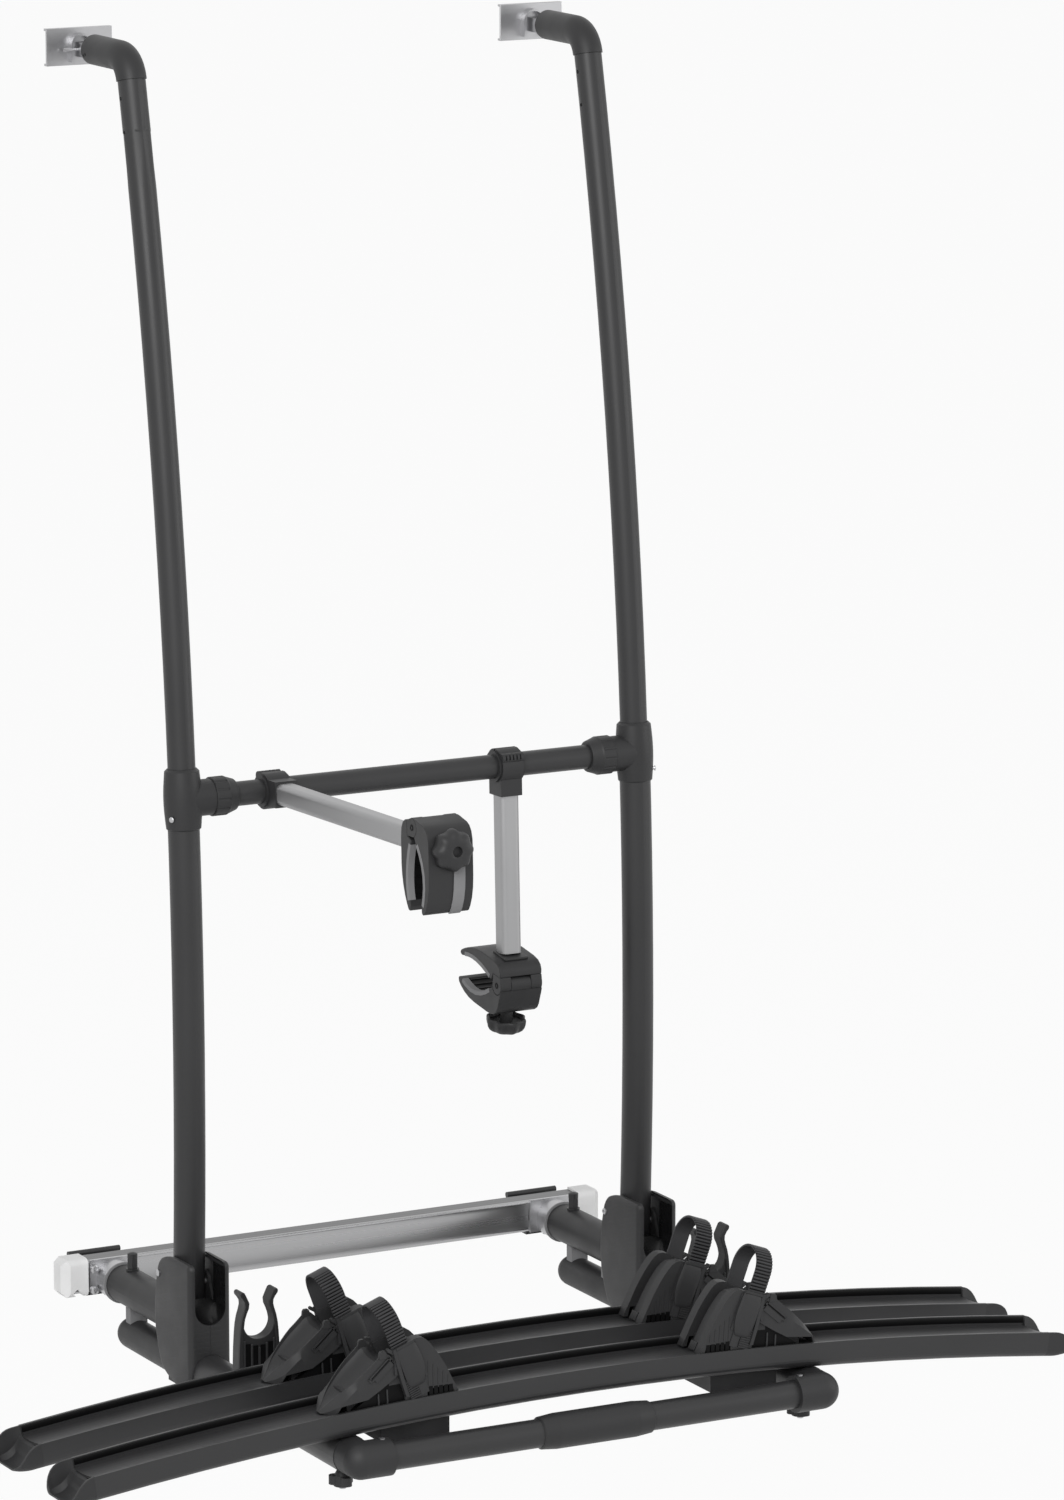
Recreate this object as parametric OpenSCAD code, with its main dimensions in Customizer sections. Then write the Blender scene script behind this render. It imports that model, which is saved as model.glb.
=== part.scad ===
// Rear bike carrier that hangs on the rear doors of a van
// X to the right, -Y away from the vehicle, Z up, origin on the back of the lower rail

/* [Uprights] */
// Distance between the centres of the two uprights
upright_gap = 640; // [600:5:700]
// Radius of the bow of the uprights
bow_r = 5530; // [5000:10:6500]
// Distance of the foremost point of the bow from the lower rail's back
bow_depth = 262; // [255:1:270]
// Height of the foremost point of the bow
bow_z = 312; // [290:1:330]
// Outer diameter of the lower upright tube
lower_tube_d = 40; // [38:0.5:40.5]
// Wall of the lower upright tube
lower_wall = 2; // [1.5:0.1:2.5]
// Wall of the upper upright tube
upper_wall = 2; // [1.5:0.1:3]
// Radial play of the upper tube in the lower one
slide_play = 0.5; // [0.3:0.05:0.8]
// Height of the lower tube's bottom end
lower_bottom = 20; // [16:0.5:24]
// Height of the lower tube's top end
lower_top = 660; // [650:1:670]
// Height of the upper tube's bottom end
upper_bottom = 500; // [400:5:560]
// Height of the upper tube's top end
upper_top = 1550; // [1300:5:1700]
// Diameter of the cross holes near the upper tube's top
tube_hole_d = 5; // [3:0.5:6]

/* [Top hooks] */
// Outer diameter of the top elbow
elbow_d = 38; // [37:0.5:42]
// Wall of the top elbow
elbow_wall = 2.5; // [2:0.1:3.5]
// Bend radius of the top elbow
elbow_bend = 35; // [28:1:45]
// Distance of the elbow's open end from the lower rail's back
elbow_end = 13; // [8:1:20]
// Length of the elbow's spigot in the upper tube
elbow_spigot = 30; // [20:1:50]
// Width of the top plate
hook_w = 90; // [70:1:120]
// Height of the top plate
hook_h = 47; // [44:1:60]
// Sheet thickness of the top plate
hook_t = 3; // [2:0.5:4]
// Distance of the top plate's front face behind the lower rail's back
hook_y = 33; // [28:1:40]
// Depth of the top plate's folded edges
hook_fold = 8; // [5:0.5:12]
// Width of the bracket on the top plate
saddle_w = 30; // [26:1:36]

/* [Cross bar] */
// Height of the cross bar
bar_z = 665.5; // [664:0.5:667]
// Outer diameter of the cross bar
bar_d = 31; // [28:0.5:32]
// Wall of the cross bar
bar_wall = 2; // [1.5:0.1:3]
// Height of the tee block
tee_h = 78; // [72:1:90]
// Diameter of the tee block at its ends
tee_end_d = 44; // [43:0.5:48]
// Diameter of the tee block at its middle
tee_mid_d = 48.5; // [47:0.5:54]
// Diameter of the tee's neck
neck_d = 46; // [42:0.5:50]
// Distance of the neck's end from the upright's centre
neck_reach = 37; // [34:0.5:40]
// Outer diameter of the collar nut
collar_d = 49.5; // [46:0.5:54]
// Length of the collar nut
collar_len = 33; // [28:0.5:40]
// Diameter of the collar nut's narrow end
collar_tip_d = 40; // [38:0.5:44]

/* [Door rail] */
// Gap between a saddle and the end cap of the lower rail
cap_gap = 3; // [2.5:0.5:20]
// Height of the lower rail
rail_h = 44; // [40:1:48]
// Depth of the lower rail
rail_d = 26; // [24:1:28]
// Wall of the lower rail
rail_wall = 3; // [2:0.1:4]
// Length of one end cap
cap_len = 35; // [28:1:50]
// Margin of the end cap round the rail
cap_margin = 3; // [2:0.5:5]
// Gap between the rail and the door plate, where the door's edge sits
door_gap = 32; // [20:1:34]
// Thickness of a door plate
door_plate_t = 4; // [3:0.5:5]

/* [Supports] */
// Diameter of the support arm
stub_d = 49; // [46:0.5:49]
// Height of the support arm's axis
stub_z = -5; // [-6:0.5:-4]
// Distance of the support arm's rear end from the rail's back
stub_back = 58; // [54:1:70]
// Distance of the support arm's front end from the rail's back
stub_front = 232; // [230:0.5:234]
// Diameter of the lower stub
bumper_d = 41; // [36:0.5:41]
// Height of the lower stub's axis
bumper_z = -64; // [-66:0.5:-62]
// Distance of the lower stub's round end from the rail's back
bumper_back = 66; // [60:1:80]
// Diameter of the support arm's spigots
spigot_d = 34; // [28:0.5:36]
// Height of the cap nut on the support arm
nut_top = 43; // [38:0.5:46]

/* [Platform] */
// Height of the platform's hinge axis
hinge_z = 44; // [42:0.5:46]
// Diameter of the hinge bolt
hinge_bolt_d = 12; // [10:0.5:14]
// Diameter of a side arm
arm_d = 48; // [46:0.5:48]
// Wall of a side arm
arm_wall = 2; // [1.5:0.1:3]
// Height of the side arms' axis
arm_z = -59; // [-59.4:0.1:-58.9]
// Distance of the side arms' rear end from the rail's back
arm_back = 286; // [284:1:290]
// Distance of the front tube's axis from the rail's back
front_y = 738; // [736:1:790]
// Diameter of the front tube
front_d = 35.5; // [32:0.5:38]
// Wall of the front tube
front_wall = 2; // [1.5:0.1:3]
// Outer diameter of the corner joints
corner_d = 47; // [46:0.5:48]
// Distance of the corner joint's inner end from the side arm's axis
corner_reach = 38; // [32:1:50]
// Length of the grip sleeve
grip_len = 154; // [100:1:220]
// Outer diameter of the grip sleeve
grip_d = 44.5; // [42:0.5:48]

/* [Hinge covers] */
// Outer width of a pair of hinge covers
cover_w = 58; // [58:0.5:62]
// Wall of a hinge cover
cover_wall = 3; // [2:0.1:3]
// Distance of the covers' front face from the rail's back
cover_front = 318; // [316:0.5:322]
// Height of the covers' top
cover_top = 82; // [76:0.5:90]
// Radius of the covers' front corners
cover_round = 9; // [6:0.5:10]
// Side play of the upright in the covers' slot
slot_play = 1; // [0.8:0.1:1.5]

/* [Wheel rails] */
// Radius of the wheel rails' arch
arch_r = 5190; // [4800:10:6000]
// Height of the wheel rails' back edge at the middle
arch_top = 15; // [14.9:0.1:16]
// Distance along X from the middle to the rails' ends
track_half = 666; // [600:1:700]
// Width of a wheel rail
track_w = 66; // [60:1:70]
// Depth of a wheel rail from its back edge to its bottom
track_h = 40; // [38:0.5:40]
// Height of the rail's back wall above its floor
track_back = 12.5; // [11:0.5:14]
// Wall of a wheel rail
track_wall = 3; // [2:0.1:3.5]
// Distance of the rear wheel rail's back from the lower rail's back
rear_track_y = 503; // [500:1:510]
// Distance of the front wheel rail's back from the lower rail's back
front_track_y = 656; // [650:1:664]
// Length of a rail cap's straight part
track_cap = 4; // [3:0.5:10]

/* [Upright clips] */
// Distance of the clips in front of the rear wheel rail's back
clip_before = 53; // [47:1:57]
// Thickness of a clip
clip_t = 20; // [14:0.5:24]
// Bore of the clip
clip_bore = 41; // [40.5:0.5:43]
// Height of the clip's bore
clip_z = 43; // [42:0.5:44]
// Width of the clip's mouth
clip_mouth = 26; // [22:0.5:32]
// Width of the clip's foot
clip_w = 58; // [54:1:62]

/* [Wheel holders] */
// Length of a wheel holder
shoe_len = 187; // [180:1:200]
// Width of a wheel holder
shoe_w = 60; // [56:0.5:62]
// Position of the left holders along the rails
left_shoe_x = -260; // [-300:1:-220]
// Position of the right holders along the rails
right_shoe_x = 243; // [220:1:300]
// Height of the wings above the rail's back edge
wing_top = 57; // [52:0.5:60]
// Width of the wheel strap
strap_w = 26; // [20:0.5:28]
// Thickness of the wheel strap
strap_t = 3; // [2:0.5:4]
// Height of the wheel strap above the rail's back edge
strap_top = 111; // [105:0.5:120]
// Lean of the wheel strap
strap_lean = 20; // [14:0.5:24]

/* [Frame arms] */
// Position of the first arm on the cross bar
arm_1_x = -195; // [-205:1:-150]
// Position of the second arm on the cross bar
arm_2_x = 133; // [80:1:180]
// Distance of the first arm's tube end from the cross bar
arm_1_len = 402; // [200:1:450]
// Distance of the second arm's tube end from the cross bar
arm_2_len = 238; // [160:1:300]
// Angle of the first arm below the horizontal
arm_1_tilt = -2; // [-10:0.5:10]
// Angle of the second arm below the horizontal
arm_2_tilt = 88; // [70:0.5:90]
// Lean of the second arm's clamp on its tube
clamp_2_lean = 10; // [0:0.5:12]
// Width of the square arm tube
square_w = 27; // [24:0.5:28]
// Corner radius of the square arm tube
square_r = 7; // [4:0.5:8]
// Wall of the square arm tube
square_wall = 2; // [1.5:0.1:3]
// Width of an arm bracket
bracket_w = 30; // [26:0.5:34]
// Outer diameter of an arm bracket
bracket_d = 46; // [44:0.5:50]
// Wall of the liner between bracket and cross bar
bush_wall = 3; // [2:0.1:4]
// Width of a clamp's jaws
jaw_w = 60; // [54:1:64]
// Diameter of a clamp's knob
knob_d = 53; // [48:1:56]
// Length of a clamp's knob
knob_len = 19; // [16:0.5:22]
// Distance that the second clamp's knob is unscrewed
knob_2_out = 11; // [6:0.5:14]

/* [Hidden] */

run_fit = 0.05;
gap = 0.3;
far = 400;
anthracite = [0.2, 0.2, 0.21];
black = [0.12, 0.12, 0.13];
silver = [0.78, 0.78, 0.79];
rubber_grey = [0.55, 0.55, 0.56];

upright_x = upright_gap / 2;
saddle_half = 34;
rail_len = 2 * (upright_x + saddle_half + cap_gap);
door_plate_w = 2 * (saddle_half + cap_gap) - 1;
clip_y = rear_track_y - clip_before;
bow_y = -bow_depth;
lower_bore = lower_tube_d - 2 * lower_wall;
upper_tube_d = lower_bore - 2 * slide_play;
upper_bore = upper_tube_d - 2 * upper_wall;
bar_y = bow_at(bar_z);
hinge_y = bow_at(hinge_z);

function bow_angle(z) = asin((z - bow_z) / bow_r);
function bow_at(z) = bow_y + bow_r * (1 - cos(bow_angle(z)));
function arch_angle(x) = asin(x / arch_r);
function arch_z(x, depth) = arch_top - arch_r + (arch_r - depth) * cos(asin(x / (arch_r - depth)));
function arc(c, r, a0, a1, n = 12) =
    [for (i = [0:n]) c + r * [cos(a0 + (a1 - a0) * i / n), sin(a0 + (a1 - a0) * i / n)]];

// General helpers

module both() {
    children();
    mirror([1, 0, 0]) children();
}

module ring(outer, inner) {
    difference() {
        circle(d = outer, $fn = 64);
        circle(d = inner, $fn = 64);
    }
}

// Draws an outline given as [y, z] points, from x0 to x1
module side_slab(x0, x1) {
    translate([x0, 0, 0]) rotate([90, 0, 90]) linear_extrude(x1 - x0) children();
}

// Cylinder along X from x0 to x1
module x_rod(d, x0, x1, y, z, fn = 64) {
    translate([x0, y, z]) rotate([0, 90, 0]) cylinder(d = d, h = x1 - x0, $fn = fn);
}

// Cylinder along Y from y0 towards the vehicle to y1
module y_rod(d, y0, y1, x, z, fn = 64) {
    translate([x, y0, z]) rotate([-90, 0, 0]) cylinder(d = d, h = y1 - y0, $fn = fn);
}

// Cylinder along Z from z0 to z1
module z_rod(d, z0, z1, x, y, fn = 48) {
    translate([x, y, z0]) cylinder(d = d, h = z1 - z0, $fn = fn);
}

module block(x0, x1, y0, y1, z0, z1) {
    translate([x0, y0, z0]) cube([x1 - x0, y1 - y0, z1 - z0]);
}

module round_square(w, r) {
    inner = w / 2 - r;
    square([w, w - 2 * r], center = true);
    square([w - 2 * r, w], center = true);
    for (x = [-inner, inner], y = [-inner, inner]) translate([x, y]) circle(r = r, $fn = 32);
}

// Sweeps an outline along the bow of the right upright between two heights
module bow(z0, z1) {
    translate([upright_x, bow_y + bow_r, bow_z]) rotate([90, 0, -90]) rotate([0, 0, bow_angle(z0)])
        rotate_extrude(angle = bow_angle(z1) - bow_angle(z0), $fn = 1440)
            translate([bow_r, 0]) children();
}

// Lower rail and its fixings

rail_front = -rail_d;
rail_top = rail_h / 2;

module lower_rail_section() {
    lobe = rail_h / 4;
    difference() {
        union() {
            polygon([[0, -rail_top], [0, rail_top], [rail_front + 6, rail_top],
                [rail_front + 2, rail_top - 3],
                [rail_front + 2, 3 - rail_top], [rail_front + 6, -rail_top]]);
            translate([rail_front + 10, lobe]) circle(r = 10, $fn = 48);
            translate([rail_front + 10, -lobe]) circle(r = 10, $fn = 48);
        }
        translate([rail_front + 2 + rail_wall, rail_wall - rail_top])
            square([rail_d - 2 - 2 * rail_wall, rail_h - 2 * rail_wall]);
    }
}

module lower_rail() {
    color(silver) difference() {
        side_slab(-rail_len / 2 - cap_len / 2, rail_len / 2 + cap_len / 2) lower_rail_section();
        for (x = [-upright_x, upright_x])
            z_rod(plate_bolt_d + 2 * run_fit, -rail_top - 1, rail_wall - rail_top + 0.5, x, plate_bolt_y);
    }
}

plate_bolt_d = 8;
plate_bolt_y = -rail_d / 2;
door_plate_y = door_gap;
plate_leg_z = -rail_top - door_plate_t;

module rail_end_caps() {
    top = rail_top + cap_margin;
    front = rail_front - cap_margin - 2;
    corner = 8;
    color("white") both() difference() {
        side_slab(rail_len / 2, rail_len / 2 + cap_len) {
            polygon(concat([[0, -top], [0, top]],
                arc([front + corner, top - corner], corner, 90, 180, 8),
                arc([front + corner, corner - top], corner, 180, 270, 8)));
        }
        block(rail_len / 2 - 1, rail_len / 2 + cap_len / 2 + 0.2, rail_front - 0.2, 1,
            -rail_top - 0.1, rail_top + 0.1);
        translate([rail_len / 2 + cap_len, 0, 0]) rotate([0, 45, 0])
            block(-4, 4, -100, 100, -100, -top + 2);
        translate([rail_len / 2 + cap_len, 0, top]) rotate([0, 45, 0])
            block(-5, 5, -100, 100, -5, 5);
        translate([rail_len / 2 + cap_len, 0, -top]) rotate([0, 45, 0])
            block(-5, 5, -100, 100, -5, 5);
        translate([rail_len / 2 + cap_len, front, 0]) rotate([0, 0, 45])
            block(-7, 7, -7, 7, -100, 100);
    }
}

module door_plates() {
    roll = 4;
    color(anthracite) both() difference() {
        side_slab(upright_x - door_plate_w / 2, upright_x + door_plate_w / 2) {
            translate([door_plate_y, plate_leg_z]) square([door_plate_t, rail_top - 6 - plate_leg_z]);
            translate([rail_front + 4, plate_leg_z])
                square([door_plate_y - rail_front - 3, door_plate_t]);
            translate([door_plate_y + roll / 2, rail_top - 7]) circle(r = roll, $fn = 32);
        }
        z_rod(plate_bolt_d + 2 * run_fit, plate_leg_z - 1, -rail_top + 1, upright_x, plate_bolt_y);
    }
}

saddle_t = 3;
rivet_x = saddle_half - 6;
cup_d = 50;
cup_back = rail_front - saddle_t;

module rail_saddles() {
    color(silver) both() {
        difference() {
            union() {
                block(upright_x - saddle_half, upright_x + saddle_half, cup_back, rail_front,
                    -rail_top, rail_top);
                y_rod(cup_d, -stub_back + 3, cup_back, upright_x, stub_z);
            }
            y_rod(spigot_d + 2 * run_fit, -stub_back, cup_back + 1, upright_x, stub_z);
            for (z = rivet_z)
                y_rod(rivet_d + 2 * run_fit, cup_back - 1, rail_front + 1, upright_x + rivet_x, z);
        }
    }
}

rivet_z = [-18, 10];
rivet_d = 5;
rivet_head = 11;
screw_d = 4;

module round_head(d, h) {
    intersection() {
        cylinder(d = d, h = h, $fn = 48);
        translate([0, 0, h - d]) sphere(r = d, $fn = 64);
    }
}

module frame_bolts() {
    color(silver) both() {
        for (z = rivet_z) {
            y_rod(rivet_d, cup_back, rail_front, upright_x + rivet_x, z);
            translate([upright_x + rivet_x, cup_back, z]) rotate([90, 0, 0]) round_head(rivet_head, 4);
        }
        z_rod(plate_bolt_d, plate_leg_z, rail_wall - rail_top, upright_x, plate_bolt_y);
        z_rod(14, plate_leg_z - 5, plate_leg_z, upright_x, plate_bolt_y, 6);
        z_rod(13, rail_wall - rail_top, rail_wall - rail_top + 6, upright_x, plate_bolt_y, 6);
        x_rod(hinge_bolt_d, upright_x - fork_out - 1, upright_x + fork_out + 1, hinge_y, hinge_z);
        tee_screw_place() {
            translate([0, 0, -1.5]) cylinder(d = 4, h = 3, $fn = 32);
            translate([0, 0, 1.5]) round_head(7, 2);
        }
    }
    color(black) both() {
        z_rod(8, stub_z, stub_z + stub_d / 2, upright_x, nut_y);
        z_rod(17, stub_z + stub_d / 2, stub_z + stub_d / 2 + 2, upright_x, nut_y);
        z_rod(14, stub_z + stub_d / 2 + 2, nut_top - 8, upright_x, nut_y, 6);
        translate([upright_x, nut_y, nut_top - 8]) round_head(13, 8);
    }
}

nut_y = -86;

// Support arms, pads and feet

spigot_len = 22;

module support_arms() {
    color(black) both() {
        difference() {
            union() {
                y_rod(stub_d, -stub_front, -stub_back, upright_x, stub_z);
                y_rod(spigot_d, -stub_front - spigot_len, -rail_d - saddle_t, upright_x, stub_z);
            }
            z_rod(8 + 2 * run_fit, stub_z, stub_z + stub_d, upright_x, nut_y);
            block(upright_x - 40, upright_x + 40, nut_y - 12, nut_y + 12, stub_z + stub_d / 2 - 0.01,
                stub_z + stub_d);
        }
        y_rod(bumper_d, -bumper_front, -bumper_back - bumper_d / 2, upright_x, bumper_z);
        translate([upright_x, -bumper_back - bumper_d / 2, bumper_z]) sphere(d = bumper_d, $fn = 64);
        y_rod(bumper_d - 12, -bumper_front - 12, -bumper_front + 1, upright_x, bumper_z);
    }
}

bumper_front = stub_front + 4;
pad_d = 54;
// Rear and front edges of the spacers between support arm and lower stub
spacer_y = [[-stub_front + 16, -stub_front + 46], [-stub_back - 46, -stub_back - 32]];

module rubber_pads() {
    color(rubber_grey) both() {
        difference() {
            y_rod(pad_d, -stub_back, -stub_back + 3, upright_x, stub_z);
            y_rod(spigot_d + 2 * run_fit, -stub_back - 1, -stub_back + 4, upright_x, stub_z);
        }
        difference() {
            for (y = spacer_y) block(upright_x - 12, upright_x + 12, y[0], y[1], bumper_z, stub_z);
            y_rod(stub_d + 2 * run_fit, -stub_front, -stub_back, upright_x, stub_z);
            y_rod(bumper_d + 2 * run_fit, -stub_front, -stub_back, upright_x, bumper_z);
        }
    }
}

foot_half = lower_tube_d / 2 + 0.5;

module upright_feet() {
    top = lower_bottom - 1.5;
    front = bow_at(lower_bottom) - lower_tube_d / 2;
    bottom = bumper_z - bumper_d / 2;
    color(black) both() difference() {
        union() {
            side_slab(upright_x - foot_half, upright_x + foot_half)
                polygon([[front, top], [-stub_front - 2, top], [-stub_front, top - 2],
                    [-stub_front, stub_z - stub_d / 2], [-bumper_front, bumper_z + bumper_d / 2],
                    [-bumper_front, bottom], [-bumper_front - 20, bottom],
                    [front + 8, stub_z - 40], [front, stub_z - 18]]);
            bow(top, hinge_z + 18) circle(d = lower_bore - 2 * run_fit, $fn = 64);
        }
        x_rod(hinge_bolt_d + 2 * run_fit, upright_x - 60, upright_x + 60, hinge_y, hinge_z);
        y_rod(spigot_d + 2 * run_fit, -stub_front - spigot_len - 0.5, -stub_front + 1, upright_x, stub_z);
        y_rod(bumper_d - 12 + 2 * run_fit, -bumper_front - 12.5, -bumper_front + 1, upright_x, bumper_z);
    }
}

// Uprights, tees and cross bar

module lower_uprights() {
    color(anthracite) both() difference() {
        bow(lower_bottom, lower_top) ring(lower_tube_d, lower_bore);
        x_rod(hinge_bolt_d + 2 * run_fit, upright_x - 60, upright_x + 60, hinge_y, hinge_z);
    }
}

module tee_axis() {
    translate([upright_x, bar_y, bar_z]) rotate([-bow_angle(bar_z), 0, 0]) children();
}

module tee_screw_place() {
    tee_axis() rotate([0, 0, -30]) translate([tee_mid_d / 2 - 0.7, 0, -22]) rotate([0, 90, 0]) children();
}

thread_d = 39;
thread_end = upright_x - neck_reach - collar_len + 8;

module tee_solid() {
    half = tee_h / 2;
    bulge = (tee_mid_d - tee_end_d) / 2;
    difference() {
        union() {
            tee_axis() rotate_extrude($fn = 96) polygon(concat([[0, -half], [tee_end_d / 2 - 3, -half]],
                [for (i = [-6:6]) [tee_end_d / 2 + bulge * cos(15 * i), (half - 3) * i / 6]],
                [[tee_end_d / 2 - 3, half], [0, half]]));
            x_rod(neck_d, upright_x - neck_reach, upright_x, bar_y, bar_z);
            x_rod(thread_d, thread_end, upright_x, bar_y, bar_z);
        }
        tee_axis() translate([0, 0, -tee_h]) cylinder(d = lower_tube_d + 0.5,
            h = tee_h + lower_top - bar_z + 0.5, $fn = 96);
        tee_axis() translate([0, 0, -tee_h / 4]) cylinder(d = upper_tube_d + 1, h = tee_h, $fn = 96);
        x_rod(bar_d + 2 * run_fit, thread_end - 1, upright_x - 10, bar_y, bar_z);
        tee_screw_place() {
            translate([0, 0, -6]) cylinder(d = 4 + 2 * run_fit, h = 12, $fn = 32);
            translate([0, 0, 1.4]) cylinder(d = 8, h = 12, $fn = 32);
        }
    }
}

module tee_front_shells() {
    color(black) both() intersection() {
        tee_solid();
        block(thread_end - 5, upright_x + far, bar_y - far, bar_y - 0.1, bar_z - far, bar_z + far);
    }
}

module tee_back_shells() {
    color(black) both() intersection() {
        tee_solid();
        block(thread_end - 5, upright_x + far, bar_y + 0.1, bar_y + far, bar_z - far, bar_z + far);
    }
}

module crossbar() {
    half = upright_x - lower_tube_d / 2 - 1.5;
    color(anthracite) difference() {
        x_rod(bar_d, -half, half, bar_y, bar_z);
        x_rod(bar_d - 2 * bar_wall, -half - 1, half + 1, bar_y, bar_z);
    }
}

module collar_nut() {
    outer = upright_x - neck_reach - gap;
    inner = upright_x - neck_reach - collar_len;
    taper = 12;
    color(black) translate([inner, bar_y, bar_z]) rotate([0, 90, 0]) difference() {
        rotate_extrude($fn = 96) polygon([[bar_d / 2 + run_fit, 0], [collar_tip_d / 2 - 1, 0],
            [collar_tip_d / 2, 1], [collar_d / 2 - 1, taper], [collar_d / 2, taper + 2],
            [collar_d / 2, outer - inner - 1], [collar_d / 2 - 1, outer - inner],
            [thread_d / 2 + gap, outer - inner], [thread_d / 2 + gap, thread_end - inner - gap],
            [bar_d / 2 + run_fit, thread_end - inner - gap]]);
        for (i = [0:11]) rotate([0, 0, 30 * i]) translate([collar_d / 2 + 1.6, 0, taper + 3])
            cylinder(r = 2.5, h = collar_len, $fn = 24);
    }
}

module upper_upright() {
    color(anthracite) difference() {
        bow(upper_bottom, upper_top - gap) ring(upper_tube_d, upper_bore);
        for (z = [upper_top - 22, upper_top - 63])
            x_rod(tube_hole_d, upright_x - 40, upright_x + 40, bow_at(z), z, 32);
    }
}

// Top elbow, its plug and hooked plate

top_angle = bow_angle(upper_top);
elbow_y = bow_at(upper_top) + elbow_bend * cos(top_angle);
elbow_z = upper_top - elbow_bend * sin(top_angle);
hook_z = elbow_z + elbow_bend;

module elbow_path(d, past, short) {
    translate([upright_x, elbow_y, elbow_z]) rotate([90, 0, 90]) rotate([0, 0, 90 - past])
        rotate_extrude(angle = 90 - top_angle + past - short, $fn = 96) translate([elbow_bend, 0])
            circle(d = d, $fn = 64);
    y_rod(d, elbow_y, -elbow_end + past, upright_x, hook_z);
}

module top_elbow() {
    color(black) difference() {
        union() {
            elbow_path(elbow_d, 0, 0);
            bow(upper_top - elbow_spigot, upper_top) circle(d = upper_bore - 2 * run_fit, $fn = 64);
        }
        elbow_path(elbow_d - 2 * elbow_wall, 2, 4);
        bow(upper_top - elbow_spigot - 5, upper_top + 8) circle(d = upper_bore - 6, $fn = 64);
        for (y = [-elbow_end - 6, -elbow_end - 12])
            x_rod(screw_d, upright_x, upright_x + 40, y, hook_z - (y + elbow_end) / 3 - 8, 32);
    }
}

module top_fixing() {
    bore = elbow_d - 2 * elbow_wall;
    leg = 3;
    color(black) difference() {
        y_rod(bore - 2 * run_fit, -elbow_end - 30, -elbow_end + 1, upright_x, hook_z);
        block(upright_x - 7.1, upright_x + 7.1, -elbow_end - 16, 0, hook_z - 12.1, hook_z + 6.1);
    }
    color(silver) {
        difference() {
            union() {
                translate([upright_x, hook_y, hook_z]) rotate([90, 0, 0]) linear_extrude(10) difference() {
                    union() {
                        translate([0, 2]) circle(d = saddle_w, $fn = 64);
                        translate([-saddle_w / 2, -19]) square([saddle_w, 21]);
                    }
                    translate([0, 2]) circle(d = saddle_w - 2 * leg, $fn = 64);
                    translate([leg - saddle_w / 2, -20]) square([saddle_w - 2 * leg, 22]);
                }
                block(upright_x - saddle_w / 2 + 1, upright_x + saddle_w / 2 - 1, hook_y - leg, hook_y,
                    hook_z - 18, hook_z + 6);
                block(upright_x - 7, upright_x + 7, -elbow_end - 15, hook_y, hook_z - 12, hook_z + 6);
            }
            y_rod(8 + 2 * run_fit, hook_y - 11, hook_y + 1, upright_x, hook_z - 3);
        }
        y_rod(8, hook_y - 10, hook_y + hook_t + 4, upright_x, hook_z - 3);
        x_rod(5, upright_x + 7, upright_x + saddle_w / 2 + 10, hook_y - 8, hook_z - 3, 32);
    }
}

module top_plate() {
    z0 = hook_z - hook_h / 2;
    z1 = hook_z + hook_h / 2;
    color(silver) difference() {
        side_slab(upright_x - hook_w / 2, upright_x + hook_w / 2) {
            translate([hook_y, z0]) square([hook_t, hook_h]);
            translate([hook_y, z1 - hook_t]) square([hook_fold, hook_t]);
            translate([hook_y, z0]) square([hook_fold, hook_t]);
        }
        y_rod(8 + 2 * run_fit, hook_y - 1, hook_y + hook_t + 1, upright_x, hook_z - 3);
    }
}

// Folding platform

fork_in = foot_half + 0.4;
fork_out = fork_in + 3.5;
cover_in = cover_w / 2 - cover_wall;
stud_y = -front_track_y - track_w / 2;
corner_back = front_y - corner_d / 2 - 3;

module side_arms() {
    color(anthracite) both() difference() {
        union() {
            y_rod(arm_d, -corner_back, -arm_back, upright_x, arm_z);
            for (s = [-1, 1]) translate([upright_x + s * (fork_in + fork_out) / 2, 0, 0])
                side_slab(-1.75, 1.75) {
                    translate([hinge_y, hinge_z]) circle(r = 15, $fn = 48);
                    polygon([[hinge_y - 15, hinge_z], [hinge_y + 15, hinge_z],
                        [-arm_back + 4, arm_z - 20], [-cover_front + 6, arm_z - 20],
                        [-cover_front + 6, arm_z + 19]]);
                }
        }
        y_rod(arm_d - 2 * arm_wall, -corner_back - 1, -arm_back + 20, upright_x, arm_z);
        x_rod(hinge_bolt_d + 2 * run_fit, upright_x - 60, upright_x + 60, hinge_y, hinge_z);
        z_rod(stud_d + 2 * run_fit, arm_z - 40, arm_z + 40, upright_x, stud_y);
    }
}

stud_d = 8;
cover_back_c = [-308.6, 0];
cover_back_r = 97.6;
cover_boss = [-cover_front + 9, 0];
cover_screw = [-cover_front + 91, cover_top - 28];

module cover_outline() {
    polygon(concat([[-cover_front + 5, cover_top - 2], [-cover_front + 20, cover_top],
            [-244, cover_top]],
        arc(cover_back_c, cover_back_r, 34, -42, 14),
        [[-262, arm_z - 21], [-275, arm_z - 23], [-cover_front + 12, arm_z - 14], [-cover_front, arm_z],
            [-cover_front, cover_top - 8]]));
}

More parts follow.
